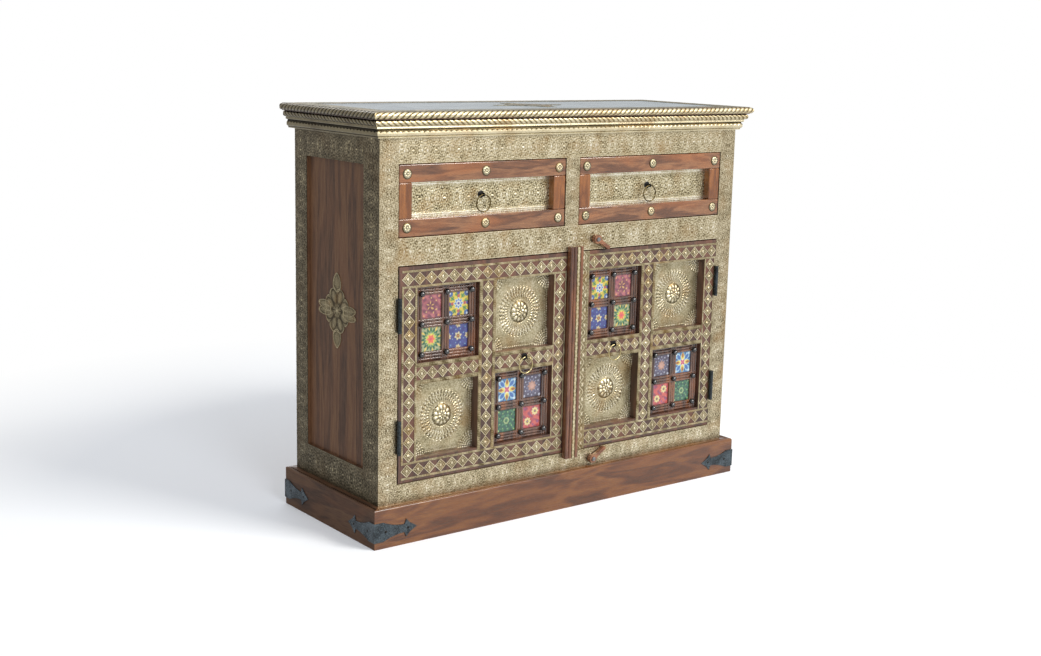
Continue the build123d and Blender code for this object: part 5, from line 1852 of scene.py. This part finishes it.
    def edge_strip(self, shell: Shell, place: Place, length: float, at: float,
                   width: float) -> None:
        """Add a narrow strip: two plain edges with a row of oval beads between them."""
        count = max(2, round(length / self.edge_step))
        s = np.linspace(-length / 2, length / 2, count + 1)[:, None]
        t = np.linspace(-width / 2, width / 2, 6)
        beads = dome(np.hypot(wrap(s, 4.6) / 1.9, t / (0.34 * width)), 1.0)
        edges = ridge(np.abs(t) - width / 2 + 0.5, 0.6)
        relief = np.clip(np.maximum(0.7 * beads, edges) * 0.5 + 0.4 * wander(s, t, 5.0), 0, 1)
        top = place.at(s, at + t, 0.7 + 0.75 * relief)
        shell.plate(top, place.at(s, at + t, 0.0), relief)

    def sunbursts(self) -> None:
        """Raise the two repousse panels."""
        shell = Shell()
        die = Sunburst()
        for x0, x1, z0, z1 in (self.cell((3, 3)), self.cell((1, 1))):
            half_w, half_h = (x1 - x0) / 2, (z1 - z0) / 2
            u = np.linspace(-half_w, half_w, round(2 * half_w / self.sun_step) + 1)[:, None]
            v = np.linspace(-half_h, half_h, round(2 * half_h / self.sun_step) + 1)
            place = front_at((x0 + x1) / 2, self.face + self.panel_in, (z0 + z1) / 2)
            height, relief = die.relief(u, v, half_w, half_h)
            shell.plate(place.at(u, v, 0.6 + height), place.at(u, v, 0.0), relief)
        shell.piece(f"door_sunbursts_{self.side}", self.body, "embossed_brass",
                    Finish.SUN_BRASS, f"door_embossed_{self.side}")

    def reeded_bar(self, shell: Shell, place: Place, length: float) -> None:
        """Add a straight bar with a flat back.

        Its front is three reeds: each one's height over the spring line is the square root
        of one less the square of the share across it.
        """
        t = np.linspace(-1, 1, 9)
        arc = np.sqrt(np.clip(1 - t ** 2, 0, 1))
        wide = self.bar / self.reeds
        depth = self.tile_back - self.lattice_in
        mids = (np.arange(self.reeds) - (self.reeds - 1) / 2) * wide
        v = (mids[:, None] + t * wide / 2 * self.reed_share).ravel()
        h = np.tile(depth - self.reed_rise + arc * self.reed_rise, self.reeds)
        v = np.concatenate([v, [self.bar / 2, -self.bar / 2]])
        h = np.concatenate([h, [0.0, 0.0]])
        ends = np.array([-length / 2, length / 2])[:, None]
        shell.loft(place.at(ends, v, h), 0.5)

    def lattices(self) -> None:
        """Frame each tile unit with reeded bars and set its nine beads."""
        shell, beads = Shell(), Shell()
        y = self.face + self.tile_back
        turn = np.linspace(-0.95, 1.45, 9)
        ball = [(self.bead_r * cos(q), self.bead_r * (sin(q) + 1) + 0.4) for q in turn]
        for place in self.tiles:
            x0, x1, z0, z1 = self.cell(place)
            mid_x, mid_z = (x0 + x1) / 2, (z0 + z1) / 2
            half = self.bar / 2
            for x in (x0 + half, mid_x, x1 - half):
                self.reeded_bar(shell, front_at(x, y, mid_z, upright=True), z1 - z0)
            for z in (z0 + half, mid_z, z1 - half):
                self.reeded_bar(shell, front_at(mid_x, y + self.cross_in, z), x1 - x0)
            for x in (x0 + self.bead_in, mid_x, x1 - self.bead_in):
                for z in (z0 + self.bead_in, mid_z, z1 - self.bead_in):
                    seat = front_at(x, self.face + self.lattice_in + self.bead_in_y, z)
                    lathe(beads, seat, ball, 18)
        shell.piece(f"door_reeds_{self.side}", self.body, "lattice_wood",
                    Finish.LATTICE_WOOD, f"door_lattice_{self.side}")
        beads.piece(f"door_turned_beads_{self.side}", self.body, "black_lacquer",
                    Finish.BEAD_LACQUER, f"door_beads_{self.side}")

    def painted_tiles(self) -> None:
        """Set the painted tiles.

        The glaze swells by one less the eighth power of the share of the way to the edge.
        """
        shell = Shell()
        y = self.face + self.tile_back
        line = np.linspace(-1, 1, TileArt.SIZE)
        rim = np.maximum(np.abs(line[:, None]), np.abs(line))
        pillow = self.tile_thick + self.pillow * (1 - rim ** 8)
        bare = np.array([[rgba("c9b8a0")[:3]]])
        for place, art in self.tiles.items():
            x0, x1, z0, z1 = self.cell(place)
            w, h = (x1 - x0 - 3 * self.bar) / 2, (z1 - z0 - 3 * self.bar) / 2
            dx, dz = (self.bar + w) / 2, (self.bar + h) / 2
            spots = [(-dx, dz), (dx, dz), (-dx, -dz), (dx, -dz)]
            for (ox, oz), tile in zip(spots, art):
                seat = front_at((x0 + x1) / 2 + ox, y, (z0 + z1) / 2 + oz)
                u, v = line[:, None] * w / 2, line * h / 2
                shell.plate(seat.at(u, v, pillow), seat.at(u, v, 0.0), tile.paint(), bare)
        shell.piece(f"door_painted_tiles_{self.side}", self.body, "glazed_tile",
                    Finish.GLAZE, f"door_tiles_{self.side}", attribute="paint")

    def build(self) -> None:
        """Make every piece of the door."""
        dress(Finish.DOOR_WOOD, f"door_frame_{self.side}")
        dress(Finish.SHADED_HINGE_IRON, f"door_hinges_{self.side}")
        self.bands()
        self.sunbursts()
        self.lattices()
        self.painted_tiles()
        Pull("door", self.side, f"door_eye_{self.side}", Finish.RING_BRASS, ball=3.9).build()


# ------------------------------------------------------------------ latches and astragal


class Meeting:
    """The astragal over the doors' meeting line and the two turn latches."""

    FLAT_IN = 5.0  # how far the astragal's flat lies behind its foremost reed
    END_GAP = 1.0  # bare wood at each end of the strip on it

    def astragal(self) -> None:
        """Dress the astragal's reeds and lay a narrow stamped strip on its flat."""
        low, high = corners("astragal")
        dress(Finish.ASTRAGAL_WOOD, "astragal")
        shell = Shell()
        quarter = (high[0] - low[0]) / 4
        place = front_at(low[0] + 2.5 * quarter, low[1] + self.FLAT_IN,
                         (low[2] + high[2]) / 2, upright=True)
        stamped_strip(shell, place, high[2] - low[2] - 2 * self.END_GAP, quarter - 1.0,
                      Vine(period=20.0), step=1.4, thick=2.6, rise=0.9)
        shell.piece("astragal_strip", "door_right", "embossed_brass", Finish.TRIM_BRASS)

    def latches(self) -> None:
        """Dress the two wooden latches."""
        dress(Finish.LATCH_WOOD, "latch_upper", "latch_lower")


# ------------------------------------------------------------------ studio


@dataclass(frozen=True)
class Viewpoint:
    """Where the camera stands and how it is turned.

    Args:
        place: metres, in the part's frame.
        yaw: degrees from the part's depth axis, towards its right.
        pitch: degrees, negative looks down.
        roll: degrees, clockwise tilt of the picture's upright.
        focal: focal length over the picture's width.
    """

    place: tuple[float, float, float] = (-2.24829, -2.90325, 1.15298)
    yaw: float = 37.641
    pitch: float = -11.210
    roll: float = 1.365
    focal: float = 1.39680


@dataclass(frozen=True)
class Lamp:
    """An area lamp: metres, watts and an sRGB colour."""

    name: str
    place: tuple[float, float, float]
    aim: tuple[float, float, float]
    size: tuple[float, float]
    power: float
    colour: str = "ffffff"


class Studio:
    """White floor and surroundings, lamps and camera."""

    SENSOR = 36.0
    FLOOR = 12.0
    GLOW = 0.13
    FADE = (1.2, 2.1)  # metres from the middle at which the floor begins to be and is white
    LAMPS = (
        Lamp("key", (2.0, -4.2, 4.1), (0.0, 0, 0.3), (2.2, 2.2), 330.0, "fffaf2"),
        Lamp("fill", (-0.9, -3.4, 2.2), (0, 0, 0.5), (1.2, 1.2), 45.0, "f6f8ff"),
        Lamp("rim", (0.6, 2.4, 2.6), (0, 0, 0.8), (2.0, 1.0), 20.0, "f4f7ff"),
    )

    def camera(self, view: Viewpoint) -> None:
        """Add the camera and make it the scene's."""
        yaw, pitch, roll = (radians(a) for a in (view.yaw, view.pitch, view.roll))
        ahead = Vector((sin(yaw) * cos(pitch), cos(yaw) * cos(pitch), sin(pitch)))
        level = Vector((cos(yaw), -sin(yaw), 0))
        upright = level.cross(ahead)
        right = level * cos(roll) + upright * sin(roll)
        up = upright * cos(roll) - level * sin(roll)
        data = bpy.data.cameras.new("camera")
        data.sensor_width = self.SENSOR
        data.lens = self.SENSOR * view.focal
        obj = bpy.data.objects.new("camera", data)
        turn = Matrix((right, up, -ahead)).transposed()
        obj.matrix_world = Matrix.Translation(view.place) @ turn.to_4x4()
        bpy.context.collection.objects.link(obj)
        bpy.context.scene.camera = obj
        bpy.context.scene.view_settings.view_transform = "Standard"

    def lamps(self) -> None:
        """Add the area lamps, each turned to its aim."""
        for lamp in self.LAMPS:
            data = bpy.data.lights.new(lamp.name, "AREA")
            data.shape = "RECTANGLE"
            data.size, data.size_y = lamp.size
            data.energy = lamp.power
            data.color = rgba(lamp.colour)[:3]
            obj = bpy.data.objects.new(lamp.name, data)
            obj.location = lamp.place
            away = Vector(lamp.aim) - Vector(lamp.place)
            obj.rotation_euler = away.to_track_quat("-Z", "Y").to_euler()
            bpy.context.collection.objects.link(obj)

    def seen(self, nodes: Nodes) -> Socket:
        """Return one for camera, glossy and transmission rays, and zero for others."""
        rays = nodes.add("LightPath").outputs
        first = nodes.math("MAXIMUM", rays["Is Camera Ray"], rays["Is Glossy Ray"])
        return nodes.math("MAXIMUM", first, rays["Is Transmission Ray"])

    def world(self, ambient: float) -> None:
        """Surround the piece with plain light, and with white where the room is seen."""
        world = bpy.data.worlds.new("room")
        bpy.context.scene.world = world
        world.use_nodes = True
        nodes = Nodes(world.node_tree)
        nodes.fill(nodes.tree.nodes["Background"], {
            "Color": rgba("ffffff"),
            "Strength": nodes.spread(self.seen(nodes), 0.0, 1.0, ambient, 1.0)})

    def floor(self) -> None:
        """Lay a pale floor that keeps the shadow and is white where light reaches it."""
        half = self.FLOOR
        mesh = bpy.data.meshes.new("floor")
        mesh.from_pydata([(-half, -half, 0), (half, -half, 0), (half, half, 0),
                          (-half, half, 0)], [], [(0, 1, 2, 3)])
        paint = Coating("painted_studio_floor")
        mesh.materials.append(paint.done({"Base Color": rgba("e8ecf1"), "Roughness": 0.9}))
        pale = paint.shader.outputs[0]
        glow = paint.add("Emission", {"Color": rgba("ffffff"), "Strength": self.GLOW})
        lit = paint.add("AddShader", {0: pale, 1: glow.outputs[0]})
        white = paint.add("Emission", {"Color": rgba("ffffff"), "Strength": 1.0})
        coords = paint.add("TexCoord").outputs["Object"]
        away = paint.add("VectorMath", {0: coords}, operation="LENGTH").outputs["Value"]
        far = paint.spread(away, *self.FADE, 0.0, 1.0)
        drawn = paint.add("MixShader", {0: far, 1: lit.outputs[0], 2: white.outputs[0]})
        mix = paint.add("MixShader", {0: self.seen(paint), 1: pale, 2: drawn.outputs[0]})
        paint.fill(paint.tree.nodes["Material Output"], {"Surface": mix.outputs[0]})
        obj = bpy.data.objects.new("floor", mesh)
        bpy.context.collection.objects.link(obj)


def main() -> None:
    """Build the studio, then the piece from its carcass to its fittings."""
    logging.basicConfig(level=logging.INFO)
    studio = Studio()
    studio.camera(Viewpoint())
    studio.lamps()
    studio.world(0.5)
    studio.floor()
    carcass = Carcass()
    carcass.dress_boards()
    carcass.plinth()
    carcass.strap_nails()
    cladding = Cladding()
    cladding.front()
    cladding.sides()
    cladding.motifs()
    cornice = Cornice()
    cornice.moulding()
    cornice.rope("rope_bead_lower", 1)
    cornice.rope("rope_bead_upper", -1)
    Top().build()
    for side in ("left", "right"):
        Drawer(side).build()
    t = Tile
    left = {(1, 3): [t.PINK, t.YELLOW, t.GREEN, t.BLUE],
            (3, 1): [t.CROSS, t.PLUM, t.DARK_GREEN, t.RED]}
    right = {(1, 3): [t.YELLOW, t.PINK, t.BLUE, t.GREEN],
             (3, 1): [t.PLUM, t.CROSS, t.RED, t.DARK_GREEN]}
    Door("left", 48.5, 37.5, left).build()
    Door("right", 70.0, 38.5, right).build()
    meeting = Meeting()
    meeting.astragal()
    meeting.latches()


if __name__ == "__main__":
    main()
